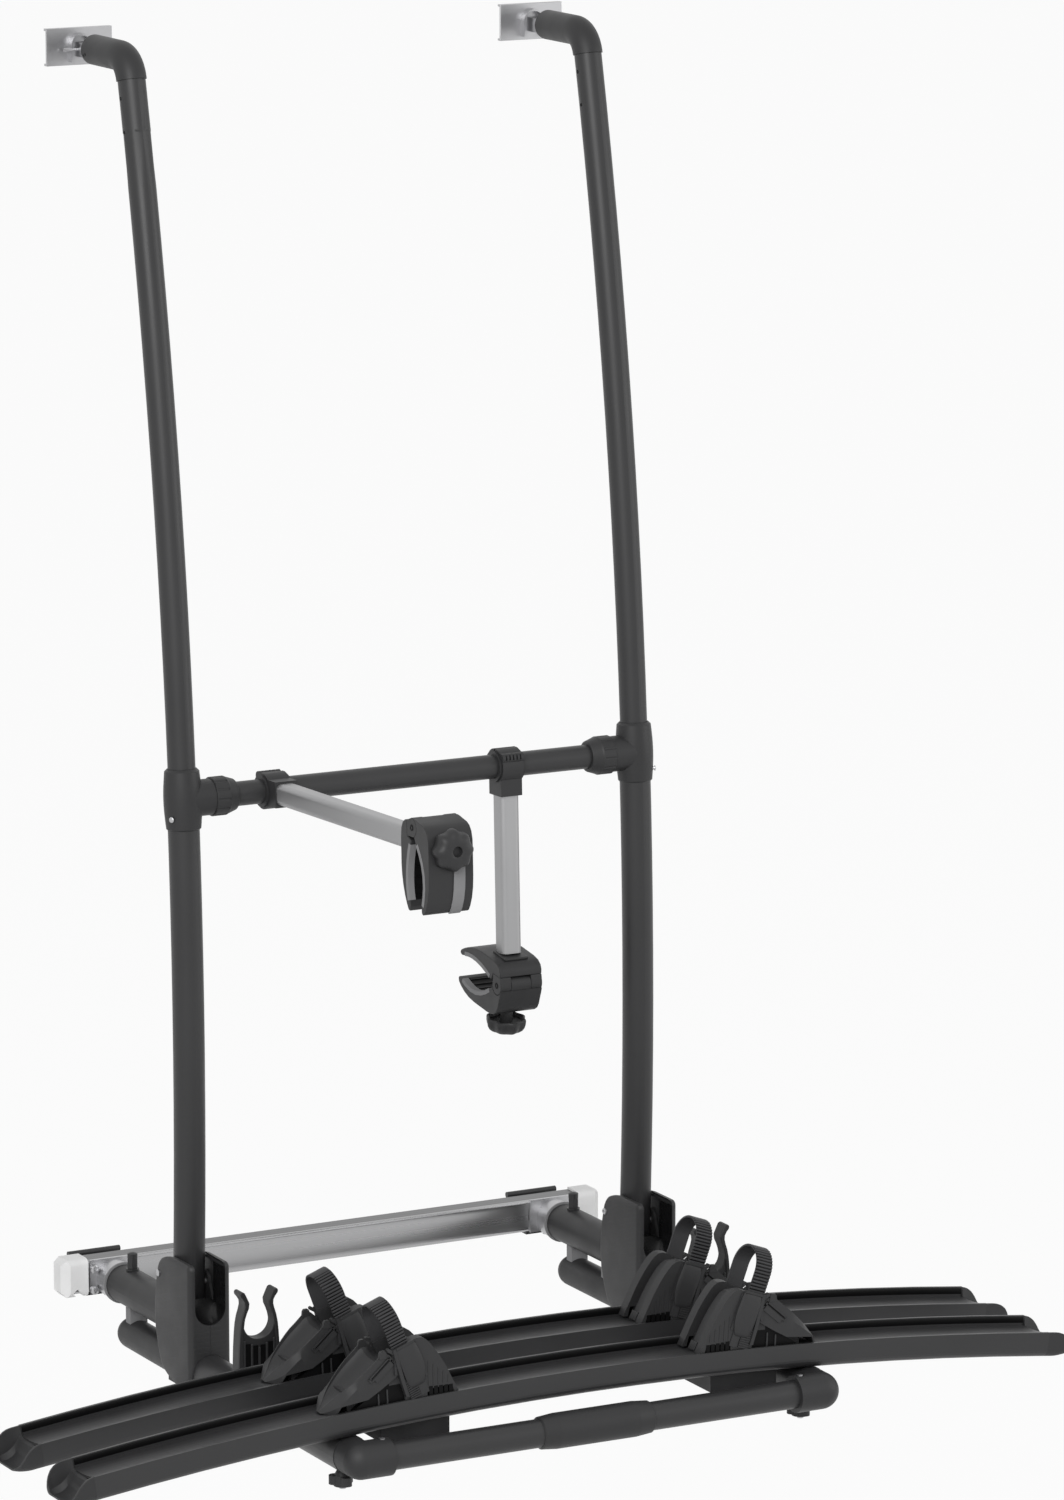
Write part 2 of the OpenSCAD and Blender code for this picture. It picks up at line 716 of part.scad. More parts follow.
// Half cover on the outer side of the right upright, from the seam outwards
module cover_half() {
    slot = lower_tube_d / 2 + slot_play;
    x1 = cover_w / 2;
    difference() {
        intersection() {
            side_slab(0.15, x1) cover_outline();
            translate([0, 0, -150]) linear_extrude(300)
                polygon(concat([[0, -cover_front], [x1 - cover_round, -cover_front]],
                    arc([x1 - cover_round, -cover_front + cover_round], cover_round, -90, 0, 8),
                    [[x1, 0], [0, 0]]));
        }
        difference() {
            translate([0, 0, -150]) linear_extrude(150 + cover_top - cover_wall - 2)
                polygon(concat([[-1, -cover_front + cover_wall]],
                    arc([cover_in - cover_round + cover_wall, -cover_front + cover_round],
                        cover_round - cover_wall, -90, 0, 6),
                    [[cover_in, 0], [-1, 0]]));
            x_rod(8, 0, cover_in + 1, cover_boss[0], cover_boss[1], 48);
        }
        block(-1, slot, -cover_front - 10, 0, slot + 4, 200);
        y_rod(2 * slot, -cover_front - 10, 0, 0, slot + 4, 96);
        y_rod(arm_d + 2 * gap, -cover_front - 10, 0, 0, arm_z, 96);
        block(-1, arm_d / 2 + gap, -cover_front - 10, 0, arm_z - 60, arm_z);
        x_rod(3.2 + 2 * run_fit, -1, cover_in + 1, cover_boss[0], cover_boss[1], 32);
        x_rod(screw_d + 2 * run_fit, cover_in - 5, x1 + 1, cover_screw[0], cover_screw[1], 32);
    }
}

module hinge_covers_outer() {
    color(black) both() translate([upright_x, 0, 0]) cover_half();
}

module hinge_covers_inner() {
    color(black) both() translate([upright_x, 0, 0]) mirror([1, 0, 0]) cover_half();
}

module corner_joints() {
    front = -front_y;
    color(black) both() difference() {
        union() {
            y_rod(corner_d, front, -corner_back, upright_x, arm_z);
            translate([upright_x, front, arm_z]) sphere(d = corner_d, $fn = 64);
            x_rod(corner_d, upright_x - corner_reach, upright_x, front, arm_z);
            y_rod(arm_d - 2 * arm_wall - 2 * run_fit, -corner_back, -corner_back + 12, upright_x, arm_z);
        }
        x_rod(front_d + 2 * run_fit, upright_x - corner_reach - 1, upright_x - 3, front, arm_z);
        z_rod(screw_d + 2 * run_fit, arm_z, arm_z + corner_d, upright_x - corner_reach + 9, front);
        z_rod(9, arm_z + corner_d / 2 - 1.5, arm_z + corner_d, upright_x - corner_reach + 9, front);
    }
}

module platform_bolts() {
    color(silver) both() {
        x_rod(3.2, upright_x - cover_in, upright_x + cover_in, cover_boss[0], cover_boss[1], 32);
        x_rod(screw_d, upright_x + cover_in + 0.2, upright_x + cover_w / 2, cover_screw[0],
            cover_screw[1], 32);
        translate([upright_x + cover_w / 2, cover_screw[0], cover_screw[1]]) rotate([0, 90, 0])
            round_head(9, 2.5);
        z_rod(screw_d, arm_z + front_d / 2 + 0.1, arm_z + corner_d / 2 - 1.5,
            upright_x - corner_reach + 9, -front_y);
        translate([upright_x - corner_reach + 9, -front_y, arm_z + corner_d / 2 - 1.5]) round_head(8, 3);
        z_rod(stud_d, arm_z - arm_d, arch_z(upright_x, track_h) - 0.8, upright_x, stud_y);
    }
}

module front_tube() {
    half = upright_x - 3.5;
    color(anthracite) difference() {
        x_rod(front_d, -half, half, -front_y, arm_z);
        x_rod(front_d - 2 * front_wall, -half - 1, half + 1, -front_y, arm_z);
    }
}

module grip_sleeve() {
    half = grip_len / 2;
    inner = front_d / 2 + run_fit;
    color(black) translate([0, -front_y, arm_z]) rotate([0, 90, 0]) rotate_extrude($fn = 96)
        polygon([[inner, -half], [grip_d / 2 - 4, -half], [grip_d / 2 - 2, 1.5 - half],
            [grip_d / 2 - 1, 12 - half], [grip_d / 2, 22 - half], [grip_d / 2, half - 22],
            [grip_d / 2 - 1, half - 12], [grip_d / 2 - 2, half - 1.5], [grip_d / 2 - 4, half],
            [inner, half]]);
}

module lock_knob() {
    top = arm_z - arm_d / 2 - 0.4;
    color(black) translate([upright_x, stud_y, top]) difference() {
        union() {
            translate([0, 0, -6]) cylinder(d1 = 20, d2 = 14, h = 6, $fn = 48);
            translate([0, 0, -20]) cylinder(d = 22, h = 14, $fn = 64);
            for (i = [0:2]) rotate([0, 0, 120 * i + 30]) translate([10, 0, -18])
                cylinder(d = 14, h = 11, $fn = 32);
        }
        translate([0, 0, -30]) cylinder(d = stud_d + 2 * run_fit, h = 40, $fn = 48);
    }
}

module upright_clips() {
    tip = clip_bore / 2 + 4;
    color(black) both() difference() {
        translate([upright_x, -clip_y + clip_t / 2, 0]) rotate([90, 0, 0]) linear_extrude(clip_t)
            difference() {
                union() {
                    translate([0, clip_z]) circle(d = clip_bore + 11, $fn = 96);
                    polygon([[-clip_w / 2, arm_z + 12], [-clip_w / 2 + 2, clip_z - 25],
                        [-clip_bore / 2 - 5, clip_z], [clip_bore / 2 + 5, clip_z],
                        [clip_w / 2 - 2, clip_z - 25], [clip_w / 2, arm_z + 12]]);
                    for (s = [-1, 1])
                        polygon([[s * (tip - 3), clip_z + 8], [s * (clip_mouth / 2 + 0.2), clip_z + 19],
                            [s * (clip_mouth / 2 - 1), clip_z + 25], [s * (clip_mouth / 2 + 6), clip_z + 41],
                            [s * (clip_mouth / 2 + 11), clip_z + 37],
                            [s * (clip_mouth / 2 + 7), clip_z + 25], [s * tip, clip_z + 16]]);
                }
                translate([0, clip_z]) circle(d = clip_bore, $fn = 96);
                translate([-clip_mouth / 2 + 1, clip_z]) square([clip_mouth - 2, 60]);
            }
        y_rod(arm_d + 2 * run_fit, -clip_y - 30, -clip_y + 30, upright_x, arm_z);
        for (i = [-1, 0, 1])
            block(upright_x + 12 * i - 4.5, upright_x + 12 * i + 4.5, -clip_y - clip_t, -clip_y - 4,
                arm_z + 29, clip_z - 30);
        block(upright_x + clip_w / 2 - 6, upright_x + far, -clip_y - 3, -clip_y + 2, 5, 15);
    }
}

// Wheel rails

arch_half = arch_angle(track_half);
lip_z = 7;
floor_front = 8;

// Outline of the rail: x is the height from the back edge, y the distance to the front
module track_section() {
    front = track_w;
    floor_back = [4, -track_back];
    floor_sag = 2;
    steps = 6;
    round_r = 12;
    floor = [for (i = [0:steps]) let (t = i / steps)
        [-track_back + (track_back - floor_front) * t - floor_sag * 4 * t * (1 - t),
            4 + (front - 8) * t]];
    corner = arc([-track_h + round_r, front - round_r], round_r, 90, 180, 6);
    cavity_r = round_r - track_wall;
    difference() {
        polygon(concat([[0, 0], [0, 4]], floor, [[-lip_z, front - 4], [-lip_z, front]], corner,
            [[-track_h, 6], [-track_h + 6, 0]]));
        polygon(concat([[-track_back - track_wall - 0.5, track_wall],
                [-track_back - track_wall - 1, front / 2], [-floor_front - track_wall, front - track_wall]],
            arc([-track_h + round_r, front - round_r], cavity_r, 90, 180, 6),
            [[-track_h + track_wall, 7], [-track_h + 7, track_wall]]));
    }
}

module wheel_rail(back) {
    color(anthracite) translate([0, -back, arch_top - arch_r]) rotate([90, 0, 0])
        rotate([0, 0, 90 - arch_half]) rotate_extrude(angle = 2 * arch_half, $fn = 720)
            translate([arch_r, 0]) track_section();
}

// Puts children at a place on the arch, with x along it and z away from its centre
module on_track(x, back) {
    translate([0, -back, arch_top - arch_r]) rotate([0, arch_angle(x), 0]) translate([0, 0, arch_r])
        children();
}

module rail_cap() {
    r = track_w / 2;
    nose = [[0, -track_back - 2], [r - 16, -track_back - 1], [r - 6, -track_back + 2], [r - 4, -lip_z - 1],
        [r - 4, 0], [r, 0]];
    difference() {
        union() {
            translate([track_cap, -r, 0]) rotate([0, 0, -90]) rotate_extrude(angle = 180, $fn = 96)
                polygon(concat(nose, arc([r - 12, 12 - track_h], 12, 0, -90, 6), [[0, -track_h]]));
            rotate([90, 0, 90]) linear_extrude(track_cap)
                polygon(concat([for (p = nose) [p[0] - r, p[1]]],
                    arc([-12, 12 - track_h], 12, 0, -90, 6),
                    arc([12 - 2 * r, 12 - track_h], 12, -90, -180, 6),
                    [for (i = [len(nose) - 1:-1:1]) [-nose[i][0] - r, nose[i][1]]]));
        }
        rotate([-atan(lip_z / track_w), 0, 0]) translate([-10, -far / 2, 0]) mirror([0, 1, 0])
            translate([0, -far, 0]) cube([far, far * 2, 50]);
    }
}

module rail_caps() {
    color(black) for (back = [rear_track_y, front_track_y]) both() on_track(track_half, back) rail_cap();
}

module rail_brackets() {
    x0 = upright_x - 138;
    x1 = upright_x - 44;
    top = arm_z + 23;
    y0 = -front_track_y - track_w + 17;
    y1 = -rear_track_y - 8;
    steps = 4;
    color(black) both() difference() {
        union() {
            block(x0, x1, y0, y1, top - 16, top);
            // Pads follow the arch of the rails
            for (back = [rear_track_y, front_track_y])
                translate([0, -back - 8, 0]) rotate([90, 0, 0]) linear_extrude(track_w - 25)
                    polygon(concat([[x0, top - 1], [x1, top - 1]],
                        [for (i = [steps:-1:0]) let (x = x0 + (x1 - x0) * i / steps)
                            [x, arch_z(x, track_h) - 0.1]]));
            block(x1 - 1, upright_x - 6, -front_track_y + 6, -rear_track_y - track_w - 6, top - 16, top);
        }
        block(x0 + 3, x1 - 3, y0 + 3, y1 - 3, top - 20, top - 3);
        y_rod(arm_d + 2 * run_fit, -far * 2, 0, upright_x, arm_z, 96);
    }
}

// Wheel holders, drawn with the tip towards -x

shoe_y = -track_w / 2;
tip_x = -shoe_len / 2;
wing_x = tip_x + 74;
buckle_top = wing_top + 9;
buckle_x = tip_x + 112;
ramp_angle = atan2(wing_top + track_back, wing_x - tip_x);

module shoe_outline() {
    polygon([[tip_x, -10], [tip_x + 38, wing_top - 31], [wing_x, wing_top], [wing_x + 6, wing_top],
        [wing_x + 18, wing_top - 11], [buckle_x - 18, buckle_top - 6], [buckle_x + 7, buckle_top],
        [buckle_x + 14, buckle_top + 1.5], [buckle_x + 20, buckle_top], [buckle_x + 28, buckle_top - 6],
        [buckle_x + 36, buckle_top - 15], [buckle_x + 44, buckle_top - 28], [buckle_x + 52, buckle_top - 45],
        [buckle_x + 61, buckle_top - 65], [-tip_x, -7], [-tip_x, -11], [tip_x, -11]]);
}

module wheel_shoe(x, back) {
    half = shoe_w / 2;
    base_half = track_w / 2 - 5.5;
    color(black) on_track(x, back) translate([0, shoe_y, 0]) difference() {
        translate([0, half, 0]) rotate([90, 0, 0]) linear_extrude(shoe_w) shoe_outline();
        // Channel for the tyre up the ramp
        translate([tip_x, 0, -8]) rotate([0, 90 - ramp_angle, 0]) translate([-10, 0, -20])
            cylinder(r = half - 3, h = far / 2, $fn = 96);
        translate([tip_x + 30, 0, wing_top + 6]) rotate([0, 90, 0])
            cylinder(r = half - 4, h = 64, $fn = 96);
        // Narrower below the rail's back edge
        for (s = [-1, 1]) translate([0, s * (base_half + far / 2), -far / 2 + 0.6])
            cube([far, far, far], center = true);
        // Foot follows the rail's floor
        translate([0, 0, -track_back - 0.2]) rotate([atan((floor_front - track_back) / (track_w - 8)), 0, 0])
            translate([0, 0, -20 + 2.7]) cube([far, far, 40], center = true);
        // Slot for the strap's loose end
        translate([strap_x, 0, 0]) rotate([0, -strap_lean, 0])
            for (s = [-1, 1]) translate([0, s * (half - strap_t / 2 - 1), 44])
                cube([strap_w + 0.6, strap_t + 0.6, 80], center = true);
        // Recess in the side of the wing
        for (s = [-1, 1]) translate([0, s * half, 0]) rotate([90, 0, 0]) linear_extrude(6, center = true)
            polygon([[tip_x + 50, 1], [wing_x + 19, 24], [wing_x + 19, 1]]);
    }
}

strap_x = tip_x + 130;

module wheel_strap(x, back) {
    half = shoe_w / 2 - 1;
    foot = 6;
    straight = strap_top / cos(strap_lean) - half;
    color(black) on_track(x, back) translate([strap_x, shoe_y, 0]) rotate([0, -strap_lean, 0])
        translate([-strap_w / 2, 0, 0]) rotate([90, 0, 90]) linear_extrude(strap_w) difference() {
            union() {
                translate([0, straight]) circle(r = half, $fn = 96);
                translate([-half, foot]) square([2 * half, straight - foot]);
                for (i = [0:4]) translate([-half - 0.6, straight - 2 - 4 * i]) square([1.2, 2]);
            }
            translate([0, straight]) circle(r = half - strap_t, $fn = 96);
            translate([strap_t - half, foot - 1]) square([2 * (half - strap_t), straight - foot + 1]);
        }
}

module strap_lever(x, back) {
    half = shoe_w / 2;
    color(black) on_track(x, back) translate([buckle_x, shoe_y - half - 0.4, 22]) {
        translate([-15, -5, 0]) cube([30, 5, 38]);
        translate([-15, -2.5, 0]) rotate([0, 90, 0]) cylinder(d = 5, h = 30, $fn = 32);
        translate([-13, -8, 30]) cube([26, 4, 10]);
    }
}

function shoe_x(i) = i < 3 ? left_shoe_x : right_shoe_x;
function shoe_back(i) = i % 2 == 1 ? rear_track_y : front_track_y;

module shoe_side(i) {
    if (i < 3) children();
    else mirror([1, 0, 0]) children();
}

module shoe(i) {
    shoe_side(i) wheel_shoe(-abs(shoe_x(i)), shoe_back(i));
}

module strap(i) {
    shoe_side(i) wheel_strap(-abs(shoe_x(i)), shoe_back(i));
}

module lever(i) {
    shoe_side(i) strap_lever(-abs(shoe_x(i)), shoe_back(i));
}

// Frame arms, drawn along -y from the cross bar

bush_d = bar_d + 2 * run_fit + 2 * bush_wall;
pin_y = -41;
pin_z = 23;
pin_d = 8;
screw_z = 0;
knuckle_half = 14;
ear_r = 12;

module on_bar(x, tilt) {
    translate([x, bar_y, bar_z]) rotate([tilt, 0, 0]) children();
}

module on_head(x, tilt, reach, lean) {
    on_bar(x, tilt) translate([0, -reach + pin_y, pin_z]) rotate([lean, 0, 0])
        translate([0, -pin_y, -pin_z]) children();
}

module arm_bush(x) {
    half = bracket_w / 2;
    color(rubber_grey) on_bar(x, 0) rotate([0, 90, 0]) rotate_extrude($fn = 96)
        polygon([[bar_d / 2 + run_fit, -half - 3], [bush_d / 2 + 1.5, -half - 3],
            [bush_d / 2 + 1.5, -half - gap], [bush_d / 2, -half - gap], [bush_d / 2, half + gap],
            [bush_d / 2 + 1.5, half + gap], [bush_d / 2 + 1.5, half + 3], [bar_d / 2 + run_fit, half + 3]]);
}

module arm_bracket(x, tilt) {
    half = bracket_w / 2;
    socket = square_w + 6;
    start = -bush_d / 2 - 3;
    color(black) on_bar(x, tilt) difference() {
        union() {
            x_rod(bracket_d, -half, half, 0, 0, 96);
            block(-half, half, start - 16, 0, -socket / 2, socket / 2);
            x_rod(13, -half, half, 12, 17, 48);
        }
        x_rod(bush_d + 2 * run_fit, -half - 1, half + 1, 0, 0, 96);
        translate([0, start, 0]) rotate([90, 0, 0]) linear_extrude(30)
            round_square(square_w + 2 * run_fit, square_r);
        block(-half - 1, half + 1, 0, 40, -1.5, 1.5);
        for (i = [-2:2]) block(5 * i - 1, 5 * i + 1, 10, 30, 21, 30);
    }
}

module arm_tube(x, tilt, reach) {
    start = -bush_d / 2 - 3.2;
    color(silver) on_bar(x, tilt) translate([0, start, 0]) rotate([90, 0, 0])
        linear_extrude(reach + start + 4) difference() {
            round_square(square_w, square_r);
            round_square(square_w - 2 * square_wall, square_r - square_wall);
        }
}

module rear_jaw_outline() {
    polygon([[-12, 30], [-11, 18], [-11, -25], [-15, -50], [-20, -68], [-25, -78], [-30, -80],
        [-34, -75], [-31, -66], [-28, -50], [-28, -30], [-31, -14], [-37, 0], [-36, 7],
        [-29, 10], [-29, 39], [-22, 39]]);
}

module front_jaw_outline() {
    polygon([[-48, 8], [-57, 2], [-64, -10], [-69, -28], [-70, -46], [-67, -60], [-63, -70],
        [-66, -77], [-72, -79], [-78, -75], [-83, -60], [-84, -30], [-84, 5], [-80, 24], [-74, 33],
        [-60, 36], [-50, 36], [-48, 33]]);
}

module rear_jaw(x, tilt, reach, lean) {
    half = jaw_w / 2;
    color(black) difference() {
        union() {
            on_head(x, tilt, reach, lean) {
                side_slab(-half, half) rear_jaw_outline();
                for (x0 = [-half, knuckle_half + gap]) side_slab(x0, x0 + half - knuckle_half - gap) {
                    translate([pin_y, pin_z]) circle(r = ear_r, $fn = 64);
                    translate([pin_y, pin_z - ear_r]) square([-28 - pin_y, 2 * ear_r + 2]);
                }
            }
            on_bar(x, tilt) block(-18, 18, -reach - 16, -reach + 8, -18, 18);
        }
        on_bar(x, tilt) translate([0, -reach + 20, 0]) rotate([90, 0, 0]) linear_extrude(24.2)
            round_square(square_w + 2 * run_fit, square_r);
        on_head(x, tilt, reach, lean) {
            x_rod(pin_d + 2 * run_fit, -half - 1, half + 1, pin_y, pin_z);
            block(-7, 7, -60, -14, screw_z - 16, screw_z + 8);
            // Ribbed hollow between the side walls
            for (i = [0:3]) block(-half + 9, half - 9, -60, -18, -66 + 13 * i, -56 + 13 * i);
        }
    }
    color(silver) on_head(x, tilt, reach, lean) x_rod(pin_d, -half, half, pin_y, pin_z);
}

module front_jaw(x, tilt, reach, lean, out) {
    half = jaw_w / 2;
    shank_end = -84 - knob_len - out + 6;
    color(black) on_head(x, tilt, reach, lean) difference() {
        union() {
            difference() {
                side_slab(-half, half) front_jaw_outline();
                x_rod(2 * ear_r + 2 * gap + 0.4, -half - 1, half + 1, pin_y, pin_z, 96);
            }
            x_rod(2 * ear_r - 1, -knuckle_half, knuckle_half, pin_y, pin_z, 96);
            block(-knuckle_half, knuckle_half, -62, pin_y, pin_z - 8, pin_z + 11);
        }
        x_rod(pin_d + 2 * run_fit, -half - 1, half + 1, pin_y, pin_z);
        y_rod(screw_w + 2 * run_fit, -120, -40, 0, screw_z);
        for (i = [0:3]) block(-half + 9, half - 9, -79, -40, -64 + 13 * i, -54 + 13 * i);
        block(3, 19, -90, -82.5, -90, screw_z - knob_d / 2 + 4);
    }
    color(silver) on_head(x, tilt, reach, lean) y_rod(screw_w, shank_end, -22, 0, screw_z, 48);
}

screw_w = 8;

module clamp_knob(x, tilt, reach, lean, out) {
    back = -84 - gap - out;
    lobe_r = 8;
    color(black) on_head(x, tilt, reach, lean) translate([0, back, screw_z]) rotate([90, 0, 0])
        difference() {
        union() {
            rotate_extrude($fn = 96) polygon([[0, 2], [knob_d / 2 - 5, 2], [knob_d / 2 - 3, 4],
                [knob_d / 2 - 3, 10], [knob_d / 2 - 6, knob_len - 2], [knob_d / 2 - 9, knob_len],
                [0, knob_len]]);
            for (i = [0:7]) rotate([0, 0, 45 * i]) translate([knob_d / 2 - lobe_r, 0, 3])
                cylinder(r = lobe_r, h = knob_len - 7, $fn = 32);
            cylinder(d = 15, h = 6, $fn = 48);
        }
        translate([0, 0, -1]) cylinder(d = screw_w + 2 * run_fit, h = knob_len, $fn = 48);
        translate([0, 0, knob_len - 6]) cylinder(d = 13, h = 10, $fn = 48);
        difference() {
            translate([0, 0, 1]) cylinder(r = knob_d / 2 - 7, h = 7, $fn = 64);
            translate([0, 0, 0]) cylinder(d = 15, h = 20, $fn = 48);
        }
    }
}

lower_rail();
rail_end_caps();
door_plates();
frame_bolts();
rail_saddles();
support_arms();
rubber_pads();
upright_feet();
lower_uprights();
tee_front_shells();
tee_back_shells();
crossbar();
mirror([1, 0, 0]) collar_nut();  // collar_nut_left
collar_nut();  // collar_nut_right
mirror([1, 0, 0]) upper_upright();  // upper_upright_left
upper_upright();  // upper_upright_right
mirror([1, 0, 0]) top_elbow();  // top_elbow_left
top_elbow();  // top_elbow_right
mirror([1, 0, 0]) top_fixing();  // top_fixing_left
top_fixing();  // top_fixing_right
mirror([1, 0, 0]) top_plate();  // top_plate_left
top_plate();  // top_plate_right
hinge_covers_outer();
hinge_covers_inner();
side_arms();
corner_joints();
platform_bolts();
front_tube();
grip_sleeve();
upright_clips();
rail_brackets();
wheel_rail(front_track_y);  // wheel_rail_front
wheel_rail(rear_track_y);  // wheel_rail_rear
rail_caps();
mirror([1, 0, 0]) lock_knob();  // lock_knob_left
lock_knob();  // lock_knob_right
shoe(1);  // wheel_shoe_1
shoe(2);  // wheel_shoe_2
shoe(3);  // wheel_shoe_3
shoe(4);  // wheel_shoe_4
strap(1);  // wheel_strap_1
strap(2);  // wheel_strap_2
strap(3);  // wheel_strap_3
strap(4);  // wheel_strap_4
lever(1);  // strap_lever_1
lever(2);  // strap_lever_2
lever(3);  // strap_lever_3
lever(4);  // strap_lever_4
arm_bush(arm_1_x);  // arm_1_bush
arm_bracket(arm_1_x, arm_1_tilt);  // arm_1_bracket
arm_tube(arm_1_x, arm_1_tilt, arm_1_len);  // arm_1_tube
rear_jaw(arm_1_x, arm_1_tilt, arm_1_len, 0);  // rear_jaw_1
front_jaw(arm_1_x, arm_1_tilt, arm_1_len, 0, 0);  // front_jaw_1
clamp_knob(arm_1_x, arm_1_tilt, arm_1_len, 0, 0);  // clamp_knob_1
arm_bush(arm_2_x);  // arm_2_bush
arm_bracket(arm_2_x, arm_2_tilt);  // arm_2_bracket
arm_tube(arm_2_x, arm_2_tilt, arm_2_len);  // arm_2_tube
rear_jaw(arm_2_x, arm_2_tilt, arm_2_len, clamp_2_lean);  // rear_jaw_2
front_jaw(arm_2_x, arm_2_tilt, arm_2_len, clamp_2_lean, knob_2_out);  // front_jaw_2
clamp_knob(arm_2_x, arm_2_tilt, arm_2_len, clamp_2_lean, knob_2_out);  // clamp_knob_2
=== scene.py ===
"""Looks of a rear bike carrier for a van.

Finishes of its solids, moulded pieces in place of the plainer ones, studio light and camera.
"""

import math

import bmesh
import bpy
from bpy.props import FloatProperty, FloatVectorProperty, PointerProperty
from mathutils import Matrix, Vector


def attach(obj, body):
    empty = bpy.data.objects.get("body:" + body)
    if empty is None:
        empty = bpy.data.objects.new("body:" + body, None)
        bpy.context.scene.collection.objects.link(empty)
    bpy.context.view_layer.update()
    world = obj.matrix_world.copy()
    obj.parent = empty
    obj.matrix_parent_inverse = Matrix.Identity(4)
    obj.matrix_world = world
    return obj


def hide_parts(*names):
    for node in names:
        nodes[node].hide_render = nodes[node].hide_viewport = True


bl_info = {
    "name": "Rear Bike Carrier",
    "version": (1, 0, 0),
    "blender": (4, 5, 0),
    "location": "View3D > Sidebar > Carrier",
    "description": "Dresses the solids of a rear bike carrier and sets up its studio",
    "category": "Object",
}

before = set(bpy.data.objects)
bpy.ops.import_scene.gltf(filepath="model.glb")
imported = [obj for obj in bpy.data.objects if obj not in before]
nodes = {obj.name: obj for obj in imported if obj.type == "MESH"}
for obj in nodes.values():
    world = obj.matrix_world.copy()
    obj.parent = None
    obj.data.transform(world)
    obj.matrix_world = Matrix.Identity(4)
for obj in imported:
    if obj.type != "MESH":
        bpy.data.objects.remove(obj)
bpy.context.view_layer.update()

SIDES = ("left", "right")
HOLDERS = (1, 2, 3, 4)
ARMS = (1, 2)


# Settings that a user would change


def colour(name, description, default):
    return FloatVectorProperty(
        name=name, description=description, subtype="COLOR", size=3, min=0, max=1, default=default
    )


def length(name, description, default):
    return FloatProperty(name=name, description=description, unit="LENGTH", min=0, default=default)


class CarrierFinish(bpy.types.PropertyGroup):
    coat: colour("Powder coat", "Colour of the coated steel tubes", (0.029, 0.029, 0.030))
    plastic: colour(
        "Moulded plastic", "Colour of covers, shells and joints", (0.026, 0.026, 0.027)
    )
    holder: colour("Holder plastic", "Colour of the wheel holders", (0.028, 0.028, 0.029))
    aluminium: colour("Aluminium", "Colour of the rail and the square tubes", (0.70, 0.70, 0.71))
    steel: colour("Plated steel", "Colour of plates, saddles and screws", (0.46, 0.46, 0.47))
    cap: colour("Rail end caps", "Colour of the lower rail's end caps", (0.86, 0.86, 0.86))
    rubber: colour("Grey rubber", "Colour of pads and liners", (0.23, 0.23, 0.235))
    strap: colour("Strap", "Colour of the ribbed wheel straps", (0.040, 0.040, 0.042))


class CarrierMouldings(bpy.types.PropertyGroup):
    easing: length("Edge rounding", "Radius of the rounded edges of moulded pieces", 0.0016)
    strap_thickness: length("Strap thickness", "Thickness of the wheel straps", 0.0026)
    rib_pitch: length("Rib pitch", "Distance between the ribs of a wheel strap", 0.0042)
    liner: length("Liner", "Thickness of the rubber liners in the clamps", 0.0056)


class CarrierStage(bpy.types.PropertyGroup):
    floor_drop: length("Floor", "Distance of the floor below the carrier's origin", 0.62)
    key_power: FloatProperty(
        name="Key light", description="Power of the large front light", unit="POWER", default=210
    )
    fill_power: FloatProperty(
        name="Fill light", description="Power of the side light", unit="POWER", default=40
    )
    sky: FloatProperty(
        name="Sky", description="Strength of the surrounding light", min=0, default=0.4
    )


# Node groups shared by the finishes


def new_group(name, inputs, outputs):
    group = bpy.data.node_groups.new(name, "ShaderNodeTree")
    for socket, kind, value in inputs:
        item = group.interface.new_socket(name=socket, in_out="INPUT", socket_type=kind)
        if value is not None:
            item.default_value = value
    for socket, kind in outputs:
        group.interface.new_socket(name=socket, in_out="OUTPUT", socket_type=kind)
    return group, group.nodes.new("NodeGroupInput"), group.nodes.new("NodeGroupOutput")


def add_node(tree, kind, **values):
    node = tree.nodes.new(kind)
    for key, value in values.items():
        if hasattr(node, key):
            setattr(node, key, value)
        else:
            node.inputs[key].default_value = value
    return node


def moulded_grain_group():
    """Fine spark-eroded grain with slow changes of gloss and shade."""
    group, ins, outs = new_group(
        "Moulded grain",
        [("Grain size", "NodeSocketFloat", 0.0006), ("Cloud size", "NodeSocketFloat", 0.05)],
        [("Height", "NodeSocketFloat"), ("Cloud", "NodeSocketFloat")],
    )
    link = group.links.new
    place = add_node(group, "ShaderNodeTexCoord")
    per_grain = add_node(group, "ShaderNodeMath", operation="DIVIDE")
    per_grain.inputs[0].default_value = 1.0
    per_cloud = add_node(group, "ShaderNodeMath", operation="DIVIDE")
    per_cloud.inputs[0].default_value = 1.0
    grain = add_node(group, "ShaderNodeTexNoise", Detail=3.0, Roughness=0.6)
    cloud = add_node(group, "ShaderNodeTexNoise", Detail=4.0, Roughness=0.55)
    link(ins.outputs["Grain size"], per_grain.inputs[1])
    link(ins.outputs["Cloud size"], per_cloud.inputs[1])
    link(per_grain.outputs[0], grain.inputs["Scale"])
    link(per_cloud.outputs[0], cloud.inputs["Scale"])
    link(place.outputs["Object"], grain.inputs["Vector"])
    link(place.outputs["Object"], cloud.inputs["Vector"])
    link(grain.outputs["Fac"], outs.inputs["Height"])
    link(cloud.outputs["Fac"], outs.inputs["Cloud"])
    return group


